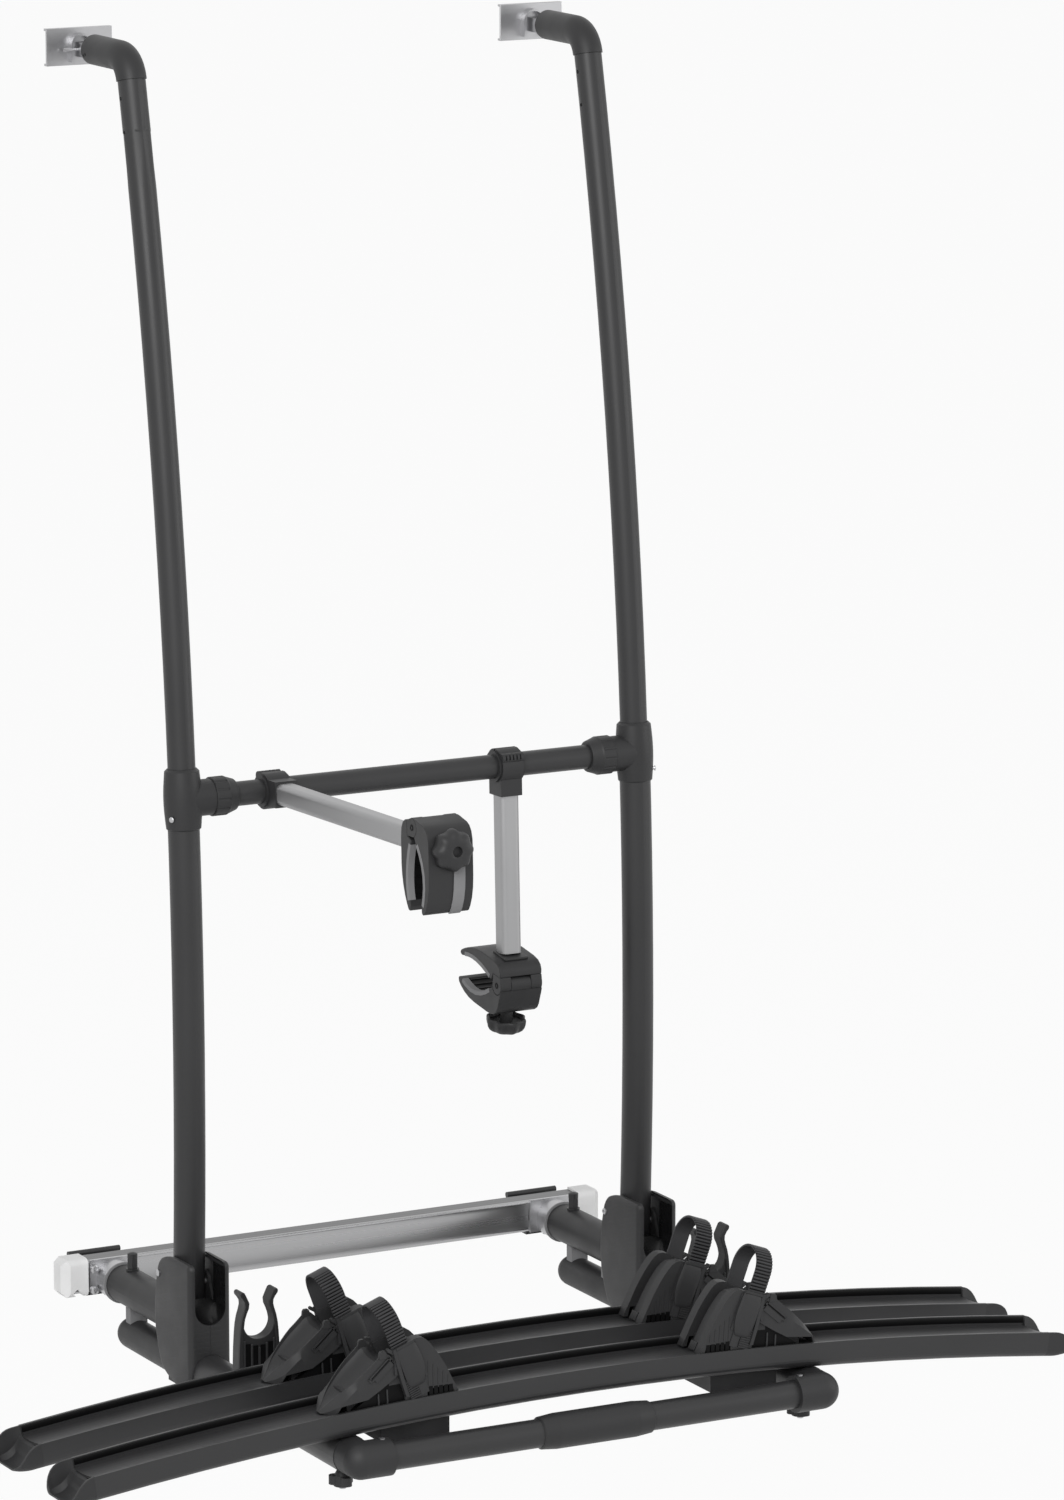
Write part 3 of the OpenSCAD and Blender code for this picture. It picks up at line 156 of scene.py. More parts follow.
def drawn_lines_group():
    """Fine lines along one direction, as on an extrusion or a rolled sheet."""
    group, ins, outs = new_group(
        "Drawn lines",
        [("Stretch", "NodeSocketVector", (4.0, 700.0, 700.0))],
        [("Height", "NodeSocketFloat"), ("Streak", "NodeSocketFloat")],
    )
    link = group.links.new
    place = add_node(group, "ShaderNodeTexCoord")
    scale = add_node(group, "ShaderNodeVectorMath", operation="MULTIPLY")
    fine = add_node(group, "ShaderNodeTexNoise", Scale=1.0, Detail=3.0, Roughness=0.65)
    broad = add_node(group, "ShaderNodeTexNoise", Scale=0.12, Detail=2.0)
    link(place.outputs["Object"], scale.inputs[0])
    link(ins.outputs["Stretch"], scale.inputs[1])
    link(scale.outputs[0], fine.inputs["Vector"])
    link(scale.outputs[0], broad.inputs["Vector"])
    link(fine.outputs["Fac"], outs.inputs["Height"])
    link(broad.outputs["Fac"], outs.inputs["Streak"])
    return group


def hatch_group():
    """Shallow parallel grooves across a moulded face."""
    group, ins, outs = new_group(
        "Hatched grooves",
        [("Direction", "NodeSocketVector", (0.0, 0.5, 0.86)), ("Pitch", "NodeSocketFloat", 0.006)],
        [("Height", "NodeSocketFloat")],
    )
    link = group.links.new
    place = add_node(group, "ShaderNodeTexCoord")
    along = add_node(group, "ShaderNodeVectorMath", operation="DOT_PRODUCT")
    turns = add_node(group, "ShaderNodeMath", operation="DIVIDE")
    saw = add_node(group, "ShaderNodeMath", operation="FRACT")
    groove = add_node(group, "ShaderNodeMapRange")
    groove.inputs["From Min"].default_value = 0.0
    groove.inputs["From Max"].default_value = 0.16
    groove.interpolation_type = "SMOOTHSTEP"
    link(place.outputs["Object"], along.inputs[0])
    link(ins.outputs["Direction"], along.inputs[1])
    link(along.outputs["Value"], turns.inputs[0])
    link(ins.outputs["Pitch"], turns.inputs[1])
    link(turns.outputs[0], saw.inputs[0])
    link(saw.outputs[0], groove.inputs["Value"])
    link(groove.outputs[0], outs.inputs["Height"])
    return group


# Finishes


def finish(name):
    material = bpy.data.materials.new(name)
    material.use_nodes = True
    tree = material.node_tree
    tree.nodes.clear()
    out = tree.nodes.new("ShaderNodeOutputMaterial")
    shader = tree.nodes.new("ShaderNodeBsdfPrincipled")
    tree.links.new(shader.outputs[0], out.inputs["Surface"])
    return material, tree, shader


def use_group(tree, name, **values):
    node = tree.nodes.new("ShaderNodeGroup")
    node.node_tree = bpy.data.node_groups[name]
    for key, value in values.items():
        node.inputs[key].default_value = value
    return node


def varied_colour(tree, shader, mask, low, high):
    mix = add_node(tree, "ShaderNodeMix", data_type="RGBA")
    mix.inputs["A"].default_value = (*low, 1)
    mix.inputs["B"].default_value = (*high, 1)
    tree.links.new(mask, mix.inputs["Factor"])
    tree.links.new(mix.outputs["Result"], shader.inputs["Base Color"])


def varied_roughness(tree, shader, mask, low, high):
    spread = add_node(tree, "ShaderNodeMapRange")
    spread.inputs["From Min"].default_value = 0.3
    spread.inputs["From Max"].default_value = 0.7
    spread.inputs["To Min"].default_value = low
    spread.inputs["To Max"].default_value = high
    tree.links.new(mask, spread.inputs["Value"])
    tree.links.new(spread.outputs[0], shader.inputs["Roughness"])


def bumped(tree, shader, heights):
    """Chains bumps, given as (height socket, strength, distance), into the shader's normal."""
    last = None
    for height, strength, distance in heights:
        bump = add_node(tree, "ShaderNodeBump", Strength=strength, Distance=distance)
        tree.links.new(height, bump.inputs["Height"])
        if last:
            tree.links.new(last, bump.inputs["Normal"])
        last = bump.outputs["Normal"]
    tree.links.new(last, shader.inputs["Normal"])


def shade(c, k):
    return tuple(min(1.0, v * k) for v in c)


def plastic_finish(
    name, base, roughness=(0.42, 0.56), grain=0.0006, depth=0.00004, hatch=None, gloss=0.36
):
    """Moulded plastic or rubber. A hatch is given as (direction, pitch, depth)."""
    material, tree, shader = finish(name)
    pattern = use_group(tree, "Moulded grain", **{"Grain size": grain})
    varied_colour(tree, shader, pattern.outputs["Cloud"], shade(base, 0.86), shade(base, 1.14))
    varied_roughness(tree, shader, pattern.outputs["Cloud"], *roughness)
    heights = [(pattern.outputs["Height"], 0.35, depth)]
    if hatch:
        grooves = use_group(tree, "Hatched grooves", Direction=hatch[0], Pitch=hatch[1])
        heights.append((grooves.outputs["Height"], 0.5, hatch[2]))
    bumped(tree, shader, heights)
    shader.inputs["IOR"].default_value = 1.48
    shader.inputs["Specular IOR Level"].default_value = gloss
    return material


def coat_finish(name, base):
    material, tree, shader = finish(name)
    pattern = use_group(tree, "Moulded grain", **{"Grain size": 0.0011, "Cloud size": 0.12})
    varied_colour(tree, shader, pattern.outputs["Cloud"], shade(base, 0.9), shade(base, 1.1))
    varied_roughness(tree, shader, pattern.outputs["Cloud"], 0.36, 0.46)
    bumped(tree, shader, [(pattern.outputs["Height"], 0.3, 0.00005)])
    shader.inputs["IOR"].default_value = 1.5
    shader.inputs["Specular IOR Level"].default_value = 0.38
    return material


def metal_finish(name, base, roughness, stretch, metallic=1.0, depth=0.00003, spread=0.07):
    material, tree, shader = finish(name)
    lines = use_group(tree, "Drawn lines", Stretch=stretch)
    streak = lines.outputs["Streak"]
    varied_colour(tree, shader, streak, shade(base, 1 - spread), shade(base, 1 + spread))
    varied_roughness(tree, shader, streak, *roughness)
    bumped(tree, shader, [(lines.outputs["Height"], 0.3, depth)])
    shader.inputs["Metallic"].default_value = metallic
    return material


def paint(node_name, material):
    node = nodes[node_name]
    if not node.material_slots:
        node.data.materials.append(material)
    for slot in node.material_slots:
        slot.material = material


def ease_edges(node_name, width, angle=40.0, segments=3):
    """Rounds the sharp edges of a solid as a mould does. The solid's own mesh stays as it is."""
    piece = nodes[node_name]
    seams = piece.modifiers.new("Closed seams", "WELD")
    seams.merge_threshold = 0.00002
    flats = piece.modifiers.new("Whole faces", "DECIMATE")
    flats.decimate_type = "DISSOLVE"
    flats.angle_limit = math.radians(0.8)
    edges = piece.modifiers.new("Rounded edges", "BEVEL")
    edges.limit_method = "ANGLE"
    edges.angle_limit = math.radians(angle)
    edges.width = width
    edges.segments = segments
    edges.miter_outer = "MITER_ARC"
    normals = piece.modifiers.new("Even shading", "WEIGHTED_NORMAL")
    normals.keep_sharp = False


# Mesh helpers


def make_piece(name, form, body, finish_name, angle=35.0):
    """Turns a form into a piece that rides a body. Edges above the angle stay sharp."""
    bmesh.ops.remove_doubles(form, verts=form.verts, dist=0.00001)
    bmesh.ops.recalc_face_normals(form, faces=form.faces)
    mesh = bpy.data.meshes.new(name)
    form.to_mesh(mesh)
    form.free()
    mesh.shade_smooth()
    mesh.set_sharp_from_angle(angle=math.radians(angle))
    mesh.materials.append(bpy.data.materials[finish_name])
    piece = bpy.data.objects.new(name, mesh)
    bpy.context.scene.collection.objects.link(piece)
    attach(piece, body)
    return piece


# Drawing in millimetres

MM = 0.001


def add_rings(form, rings):
    """Skins a row of equal outlines, each a list of points, and closes both ends."""
    rows = [[form.verts.new(Vector(point) * MM) for point in ring] for ring in rings]
    count = len(rows[0])
    for low, high in zip(rows, rows[1:]):
        for k in range(count):
            n = (k + 1) % count
            form.faces.new((low[k], low[n], high[n], high[k]))
    form.faces.new(rows[0][::-1])
    form.faces.new(rows[-1])


def add_side_plate(form, outline, y0, y1):
    """A flat plate whose outline is given as (x, z)."""
    add_rings(form, [[(x, y, z) for x, z in outline] for y in (y0, y1)])


def add_end_plate(form, outline, x0, x1):
    """A flat plate whose outline is given as (y, z)."""
    add_rings(form, [[(x, y, z) for y, z in outline] for x in (x0, x1)])


def add_block(form, x0, x1, y0, y1, z0, z1):
    add_side_plate(form, [(x0, z0), (x1, z0), (x1, z1), (x0, z1)], y0, y1)


def move(form, matrix, first=0):
    form.verts.ensure_lookup_table()
    bmesh.ops.transform(form, matrix=matrix, verts=form.verts[first:])


def along(start, end, share):
    return start + (end - start) * share


def arc(across, up, radius, start, end, steps):
    """Points of an arc about (across, up), from one angle to another in degrees."""
    turns = [math.radians(along(start, end, k / steps)) for k in range(steps + 1)]
    return [(across + radius * math.cos(a), up + radius * math.sin(a)) for a in turns]


def circle(across, up, radius, steps):
    return arc(across, up, radius, 0, 360, steps)[:-1]


def offset_path(path, distance):
    """Moves an open path sideways, to its left for a positive distance."""
    out = []
    for k, (a, b) in enumerate(path):
        before = path[max(k - 1, 0)]
        after = path[min(k + 1, len(path) - 1)]
        run = Vector((after[0] - before[0], after[1] - before[1])).normalized()
        out.append((a - run.y * distance, b + run.x * distance))
    return out


def read_off(table, x):
    for (x0, v0), (x1, v1) in zip(table, table[1:]):
        if x <= x1:
            return along(v0, v1, (x - x0) / (x1 - x0))
    return table[-1][1]


def drawn(draw, place, *values):
    """A form with one drawing in it, moved to its place."""
    form = bmesh.new()
    draw(form, *values)
    move(form, place)
    return form


def round_off(piece, width, angle=30.0, segments=2):
    edges = piece.modifiers.new("Rounded edges", "BEVEL")
    edges.limit_method = "ANGLE"
    edges.angle_limit = math.radians(angle)
    edges.width = width * MM
    edges.segments = segments
    edges.harden_normals = True


# Wheel holders, drawn from the tip at x 0, with y across and z above the rail's back edge

ARCH_RADIUS = 5190.0
ARCH_TOP = 15.0
RAIL_WIDTH = 66.0
TRACKS = {"rear": 503.0, "front": 656.0}
HOLDER_LENGTH = 187.0
HOLDER_HALF = 30.0
STRAP_FOOT = 120.5
STRAP_LEAN = math.radians(17.5)
STRAP_TOP = 120.0

# Place along the rail, the rail and the hand of each holder
HOLDER_PLACES = {
    1: (-260.0, "rear", 1),
    2: (-260.0, "front", 1),
    3: (-243.0, "rear", -1),
    4: (-243.0, "front", -1),
}

# Heights and half widths along the holder, from its tip
RIM_HEIGHT = [
    (0, -10), (10, 0.5), (20, 11), (38, 26), (53, 38.5), (62, 45), (70, 52), (76, 56.5),
    (80, 56.5), (84, 54), (88, 50), (94, 45.5), (98, 45),
]
RIM_HALF = [
    (0, 2), (4, 5), (9, 8), (15, 13), (21, 17.5), (30, 22.5), (38, 26), (48, 28.8), (56, 30),
    (98, 30),
]
SKIRT_HALF = [(0, 6), (8, 19), (16, 30), (98, 30)]
SKIRT_HEIGHT = [
    (0, -11), (8, -6), (16, 1), (35, 15), (56, 29), (66, 39), (74, 50), (80, 53), (98, 44),
]
WING_FOOT = [(0, -11), (12, -11), (16, -4), (18, 0), (54, 2.6), (72, 11.8), (94, 24.7), (98, 27)]
CHANNEL_DEPTH = [(0, 0.3), (10, 2), (30, 10), (50, 15), (66, 16), (80, 15), (98, 7)]
SCOOP_STATIONS = (
    0, 1.5, 4, 7, 10, 14, 18, 23, 28, 34, 40, 47, 54, 60, 66, 71, 76, 80, 84, 88, 93, 97,
)
RIM_WALL = 1.7

# Outlines in (x, z)
FIN = [
    (114, 0), (110, 62), (116, 66.5), (123, 68.3), (130, 67.8), (136, 64), (141, 58.5),
    (146, 51.5), (151, 44), (156, 35.5), (161, 26), (166, 15), (170, 6), (173, 0), (177, -9),
    (177, -10.5), (171, -10.5), (168, 2),
]
WING_TAB = [(71, 50), (72, 57.5), (74, 60), (79, 60), (81, 57.5), (81, 50)]
UNDER_WING = [(34, -9.6), (108, -9.6), (106, 12), (96, 27), (72, 12), (54, 3)]

# Slot in a wing, and the strips of its frame: distances under its line and along it
SLOT_LINE = ((56.5, 27.5), (85.0, 50.5))
SLOT_LENGTH = math.dist(*SLOT_LINE)
FRAME_STRIPS = (
    (-1.2, 0.6, 0, SLOT_LENGTH),
    (3.4, 5.6, 1, SLOT_LENGTH),
    (5.6, 11.0, 4, SLOT_LENGTH - 1),
    (-1.2, 5.6, -1.6, 0.6),
    (-1.2, 11.0, SLOT_LENGTH - 2.2, SLOT_LENGTH),
)
GAP_LINE = ((58.4, 29.6), (82.6, 49.0))

# Lips of the buckle's housing: outline, and how far they stand out
LIPS = (
    (
        [(81.5, 61), (84, 62), (94, 55.5), (94, 27), (90.4, 27), (90.4, 52.5), (82, 58)],
        2.0,
    ),
    (
        [(88.6, 59.5), (93, 60.5), (97.4, 42), (103, 18), (108.8, -3), (104, -2.5), (98.6, 16),
         (92.6, 41)],
        3.4,
    ),
)

# Height, left edge, right edge and bulge of the lever
LEVER_SECTIONS = (
    (8, -4, 11, 0.8), (9.5, -6, 13, 2.0), (13, -7.5, 15, 3.0), (19, -8.6, 17.4, 3.8),
    (26, -9.2, 19.4, 4.4), (34, -9.4, 20.3, 4.9), (42, -9.4, 20.3, 5.0), (50, -9.2, 19.6, 4.7),
    (57, -9, 18.8, 4.0), (61, -8.6, 18, 3.2), (64, -8.2, 17.2, 2.2), (65.2, -7.4, 16, 1.0),
)

# Strap: its feet, its sides, and where the ribs begin
NEAR_FOOT, FAR_FOOT = 44.0, 6.0
STRAP_LEFT, STRAP_RIGHT = -13.0, 11.0
RIBBED_FROM = 19.0


def on_rail(x, back):
    turn = Matrix.Rotation(math.asin(x / ARCH_RADIUS), 4, "Y")
    to_centre = Matrix.Translation(Vector((0, -back, ARCH_TOP - ARCH_RADIUS)) * MM)
    return to_centre @ turn @ Matrix.Translation((0, 0, ARCH_RADIUS * MM))


def holder_place(number):
    x, track, hand = HOLDER_PLACES[number]
    start = Matrix.Translation(Vector((-HOLDER_LENGTH / 2, -RAIL_WIDTH / 2, 0)) * MM)
    return Matrix.Diagonal((hand, 1, 1, 1)) @ on_rail(x, TRACKS[track]) @ start


def leaning():
    """Frame of the strap: x across it, y across the rail, z along it."""
    return Matrix.Translation((STRAP_FOOT * MM, 0, 0)) @ Matrix.Rotation(-STRAP_LEAN, 4, "Y")


def slanted_strip(line, low, high, first, last):
    """Corners of a strip beside a slanted line, by distances under it and along it."""
    start, end = Vector(line[0]), Vector(line[1])
    run = (end - start).normalized()
    down = Vector((run.y, -run.x))
    corners = ((first, low), (last, low), (last, high), (first, high))
    return [tuple(start + run * far + down * under) for far, under in corners]


def draw_scoop(form):
    """Open scoop that guides the tyre, with thin rims and skirts that slope down to the rail."""
    rings = []
    for x in SCOOP_STATIONS:
        half, top = read_off(RIM_HALF, x), read_off(RIM_HEIGHT, x)
        skirt, foot = read_off(SKIRT_HALF, x), read_off(WING_FOOT, x)
        low = max(min(read_off(SKIRT_HEIGHT, x), top - 1), foot + 0.4)
        inner, depth = max(half - RIM_WALL, 0.4), read_off(CHANNEL_DEPTH, x)
        near = [(-skirt, foot), (-skirt, low), (-half, top)]
        bed = []
        for k in range(13):
            turn = math.pi * k / 12
            bed.append((-inner * math.cos(turn), top - depth * math.sin(turn) ** 0.75))
        far = [(-y, z) for y, z in reversed(near)]
        rings.append([(x, y, z) for y, z in near + bed + far])
    add_rings(form, rings)


def draw_wing_frames(form):
    """Raised frames round a slot in the outer faces of both wings, and the tabs on their rims."""
    for side in (-1, 1):
        for strip in FRAME_STRIPS:
            outline = slanted_strip(SLOT_LINE, *strip)
            add_side_plate(form, outline, side * (HOLDER_HALF - 1), side * (HOLDER_HALF + 1.4))
        add_side_plate(form, WING_TAB, side * 26.8, side * (HOLDER_HALF + 0.9))


def draw_core(form):
    """Narrow base under the wings with two webs, and the block behind the scoop."""
    add_block(form, 30, 112, -19, 19, -11, 13)
    for x in (68, 80):
        add_block(form, x, x + 1.8, -28, 28, -9, 0.3 * x - 14)
    add_block(form, 84, 104, -HOLDER_HALF + 3, HOLDER_HALF - 3, 14, 40)


def draw_tower(form):
    """Housing of the buckle with its two lips, and the strap's ribbed tail below the lever."""
    for outline, proud in LIPS:
        for side in (-1, 1):
            add_side_plate(form, outline, side * (HOLDER_HALF - 3), side * (HOLDER_HALF + proud))
    first = len(form.verts)
    add_block(form, -12, 17, -HOLDER_HALF + 0.4, -HOLDER_HALF + 9, 2, 60)
    add_block(form, -14, 16, HOLDER_HALF - 9, HOLDER_HALF - 0.4, 2, 62)
    add_block(form, -12, 14, -HOLDER_HALF + 8, HOLDER_HALF - 8, 2, 34)
    add_block(form, 17, 20.5, -HOLDER_HALF - 1.2, -HOLDER_HALF + 6, 14, 61)
    add_block(form, -11, 3, -HOLDER_HALF - 1.2, -HOLDER_HALF + 3, -5, 22)
    for k in range(9):
        z = -4.6 + 2.8 * k
        add_block(form, -11, 3, -HOLDER_HALF - 2.4, -HOLDER_HALF, z, z + 1.5)
    add_block(form, 3.6, 15, -HOLDER_HALF - 1.0, -HOLDER_HALF + 3, -6, 12)
    move(form, leaning(), first)


def draw_fins(form):
    for side in (-1, 1):
        add_side_plate(form, FIN, side * 15.5, side * HOLDER_HALF)
        for k in range(6):
            x = 129 + 6.6 * k
            top = 42 - 5.4 * k
            add_side_plate(form, [(x, 5), (x + 2.6, 5), (x + 1.9, top), (x + 0.8, top)], side * 29,
                           side * (HOLDER_HALF + 0.5))
    lowered = [(x - 4, z - 7 if z > 0 else z) for x, z in FIN]
    add_side_plate(form, lowered, -7.5, 7.5)
    add_block(form, 104, 160, -24, 24, -11, 6)
    add_block(form, 104, 134, -HOLDER_HALF, HOLDER_HALF, -7, 8)


def draw_shell(form):
    for draw in (draw_scoop, draw_wing_frames, draw_core, draw_tower, draw_fins):
        draw(form)


def draw_gap_shade(form):
    """Painted shade: dark sheets in the gaps under the wings, in the wings' slots and along the
    foot of the fins.
    """
    slot = slanted_strip(GAP_LINE, 0.2, 2.6, 0, math.dist(*GAP_LINE))
    for side in (-1, 1):
        add_side_plate(form, UNDER_WING, side * 19, side * 26.5)
        add_side_plate(form, slot, side * (HOLDER_HALF - 1), side * (HOLDER_HALF + 0.7))
        for k in range(5):
            x = 136.4 + 6.8 * k
            top = 4.2 - 0.6 * k
            add_block(form, x, x + 5.2, side * 24, side * (HOLDER_HALF + 0.35), -9.6, top)


def draw_lever(form):
    """Bulged cover of the buckle, which hinges at its lower end."""
    rings = []
    for z, left, right, proud in LEVER_SECTIONS:
        ring = [(left, -30.4, z)]
        for k in range(11):
            share = k / 10
            crown = 1 - abs(2 * share - 1) ** 6
            ring.append((along(left, right, share), -30.7 - proud * (0.6 + 0.4 * crown), z))
        ring.append((right, -30.4, z))
        rings.append(ring)
    add_rings(form, rings)
    add_block(form, -8, 16.6, -34.2, -30.4, 63.2, 66.4)
    move(form, leaning())


def draw_strap(form, thickness, pitch, grooves=False):
    """Band that loops over the wheel, ribbed on its near side, or a dark band of painted shade at
    the bed of its grooves.
    """
    radius = HOLDER_HALF - 1
    top = STRAP_TOP - radius
    straight, bend = top - NEAR_FOOT, math.pi * radius
    whole = straight + bend + top - FAR_FOOT
    ribbed_to = straight + bend * 0.42
    stations, s = [], 0.0
    while s < whole:
        stations.append(s)
        s += pitch / 6 if s < ribbed_to else 2.5
    stations.append(whole)
    rings = []
    for s in stations:
        ribbed = RIBBED_FROM < s < ribbed_to
        if grooves and not ribbed:
            continue
        if s <= straight:
            z, way = NEAR_FOOT + s, (-1.0, 0.0)
        elif s <= straight + bend:
            turn = (s - straight) / radius
            z, way = top, (-math.cos(turn), math.sin(turn))
        else:
            z, way = top - (s - straight - bend), (1.0, 0.0)
        if grooves:
            outer, inner = radius - 0.3, radius - 1.6
        else:
            wave = 0.5 - 0.5 * math.cos(2 * math.pi * s / pitch)
            rib = 1.5 * min(1.0, wave * 1.5) if ribbed else 0.9
            outer, inner = radius - 0.9 + rib, radius - thickness
        middle = (outer + inner) / 2
        section = (
            (STRAP_LEFT, middle), (STRAP_LEFT + 0.6, outer), (STRAP_RIGHT - 0.6, outer),
            (STRAP_RIGHT, middle), (STRAP_RIGHT - 0.5, inner), (STRAP_LEFT + 0.5, inner),
        )
        rings.append([(u, way[0] * r, z + way[1] * r) for u, r in section])
    add_rings(form, rings)
    move(form, leaning())


class HolderOperator(bpy.types.Operator):
    """Four wheel holders with their scoops, buckle housings and rear fins"""

    bl_idname = "carrier.holders"
    bl_label = "Wheel holders"

    def execute(self, context):
        for i in HOLDERS:
            body, place = f"holder_{i}", holder_place(i)
            form = drawn(draw_shell, place)
            piece = make_piece(
                f"holder_shell_{i}", form, body, "Holder plastic", 28
            )
            round_off(piece, 0.7)
            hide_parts(f"wheel_shoe_{i}")
            # Dark sheets of painted shade in the holder's gaps.
            form = drawn(draw_gap_shade, place)
            make_piece(f"holder_gap_shade_{i}", form, body, "Painted shade and dark pins")
        return {"FINISHED"}


class LeverOperator(bpy.types.Operator):
    """Four bulged levers of the buckles"""

    bl_idname = "carrier.levers"
    bl_label = "Strap levers"

    def execute(self, context):
        for i in HOLDERS:
            form = drawn(draw_lever, holder_place(i))
            piece = make_piece(
                f"buckle_lever_{i}", form, f"lever_{i}", "Holder plastic", 40
            )
            round_off(piece, 0.5, 40)
            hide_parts(f"strap_lever_{i}")
        return {"FINISHED"}


class StrapOperator(bpy.types.Operator):
    """Four ribbed straps over the wheels"""

    bl_idname = "carrier.straps"
    bl_label = "Wheel straps"

    def execute(self, context):
        sizes = context.scene.carrier_mouldings
        band = (sizes.strap_thickness / MM, sizes.rib_pitch / MM)
        for i in HOLDERS:
            body, place = f"holder_{i}", holder_place(i)
            # Painted shade: a dark band under the ribs, in the strap's grooves.
            form = drawn(draw_strap, place, *band, True)
            make_piece(f"strap_groove_shade_{i}", form, body, "Painted shade and dark pins", 50)
            form = drawn(draw_strap, place, *band)
            piece = make_piece(
                f"ribbed_strap_{i}", form, body, "Strap rubber", 50
            )
            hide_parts(f"wheel_strap_{i}")
        return {"FINISHED"}


# Frame clamps, drawn in the clamp head's frame: y to the front, z up, the screw's axis at z 0

BAR_Y, BAR_Z = -250.69, 665.5
PIN_Y, PIN_Z = -41.0, 23.0
JAW_HALF = 30.0
EAR_RADIUS = 12.0
KNUCKLE_HALF = 14.0
LINER_WIDTH = 8.4
SCREW_RADIUS = 4.0

# Place along the bar, tilt of the arm, its reach, lean of the jaws, how far the screw is out
CLAMPS = {1: (-195.0, -2.0, 402.0, 0.0, 0.0), 2: (133.0, 88.0, 238.0, 10.0, 11.0)}

# Outlines of the jaws in (y, z)
FRONT_MOUTH = [
    (-52, 2.6), (-58.4, -7), (-64.4, -19), (-68.2, -32), (-69, -46), (-67, -59), (-64.4, -69),
]
REAR_MOUTH = [
    (-31.6, -67), (-29.2, -57), (-28.2, -46), (-28.6, -34), (-30.6, -20), (-33.6, -8),
    (-37, 1.5),
]
FRONT_FACE = [(-84, -18), (-84, -34), (-82.8, -49), (-79.6, -62), (-74.6, -73), (-70.6, -78.4)]
FRONT_TOP = [(-52, 33.5), (-60, 31.5), (-69, 29.5), (-76, 26), (-81, 19.5), (-83.6, 10), (-84, 0)]
REAR_BACK = [
    (-38, 5.5), (-36.5, 8), (-29, 10.8), (-28.2, 12), (-28.2, 31.2), (-22, 30.4), (-16.5, 27),
    (-12.6, 20), (-11, 8), (-11, -25), (-12.2, -38), (-15, -51), (-19, -62.5), (-23.5, -72),
    (-27.5, -78.5), (-30, -80.2), (-32.6, -79.4), (-34, -76.4), (-33.6, -73),
]

# One end of the pin: half length and radius
PIN_END = [(29.376, 1.9), (30.5, 2.1), (30.5, 3.5), (30.4, 4.0)]

# Cup of the knob from its neck: radius, depth of the flutes and distance from its seat
KNOB_CUP = [
    (8.2, 0, 0.6), (8.4, 0, 4.5), (21.5, 2.0, 4.5), (23.6, 2.2, 0.5), (25.2, 2.4, 0.0),
    (26.2, 2.6, 0.7), (26.5, 2.7, 2.5), (26.2, 2.7, 7.0), (25.2, 2.5, 11.0), (23.0, 2.2, 14.6),
    (19.6, 1.6, 17.2), (15.6, 0.9, 18.6), (11.0, 0.3, 19.0), (7.4, 0, 19.0), (6.6, 0, 18.5),
    (6.2, 0, 12.8),
]


def head_place(number):
    x, tilt, reach, lean, _ = CLAMPS[number]
    pin = Vector((0, PIN_Y, PIN_Z)) * MM
    bar = Matrix.Translation(Vector((x, BAR_Y, BAR_Z)) * MM)
    bar = bar @ Matrix.Rotation(math.radians(tilt), 4, "X")
    at_pin = Matrix.Translation(Vector((0, PIN_Y - reach, PIN_Z)) * MM)
    return bar @ at_pin @ Matrix.Rotation(math.radians(lean), 4, "X") @ Matrix.Translation(-pin)


def add_band(form, path, thickness, x0, x1):
    """A band along a path of (y, z), with its thickness to the path's left."""
    far = offset_path(path, thickness)
    add_rings(form, [[(x0, *a), (x1, *a), (x1, *b), (x0, *b)] for a, b in zip(path, far)])


def ear_arc(start, end, radius, steps=12):
    return arc(PIN_Y, PIN_Z, radius, start, end, steps)


def draw_rear_jaw(form):
    add_end_plate(form, REAR_BACK + REAR_MOUTH, -JAW_HALF, JAW_HALF)
    ear = ear_arc(75, 285, EAR_RADIUS, 16) + [(-28, 11), (-28, 31.2)]
    for x0, x1 in ((-JAW_HALF, -KNUCKLE_HALF - 0.3), (KNUCKLE_HALF + 0.3, JAW_HALF)):
        add_end_plate(form, ear, x0, x1)
    add_block(form, -17, 17, -12, -8.6, -17, 17)


def draw_front_jaw(form):
    front = ear_arc(243, 112, EAR_RADIUS + 0.5) + FRONT_TOP + FRONT_FACE
    front += [(-67, -79.9), (-64.2, -78.6), (-63.2, -75)] + FRONT_MOUTH[::-1]
    add_end_plate(form, front, -JAW_HALF, JAW_HALF)
    knuckle = ear_arc(-75, 98, EAR_RADIUS - 0.5, 14)
    knuckle += [(-52, 33.2), (-56, 32), (-56, 6), (-50, 8.5), (-46, 11.6)]
    add_end_plate(form, knuckle, -KNUCKLE_HALF, KNUCKLE_HALF)


def draw_pin(form):
    rings = []
    for x, radius in [(-x, radius) for x, radius in PIN_END] + PIN_END[::-1]:
        rings.append([(x, y, z) for y, z in circle(PIN_Y, PIN_Z, radius, 32)])
    add_rings(form, rings)


def draw_screw(form, out):
    rings = []
    for y, radius in ((-60, 3.4), (-60.6, SCREW_RADIUS), (-83.8 - out, SCREW_RADIUS)):
        rings.append([(x, y, z) for x, z in circle(0, 0, radius, 32)])
    add_rings(form, rings)


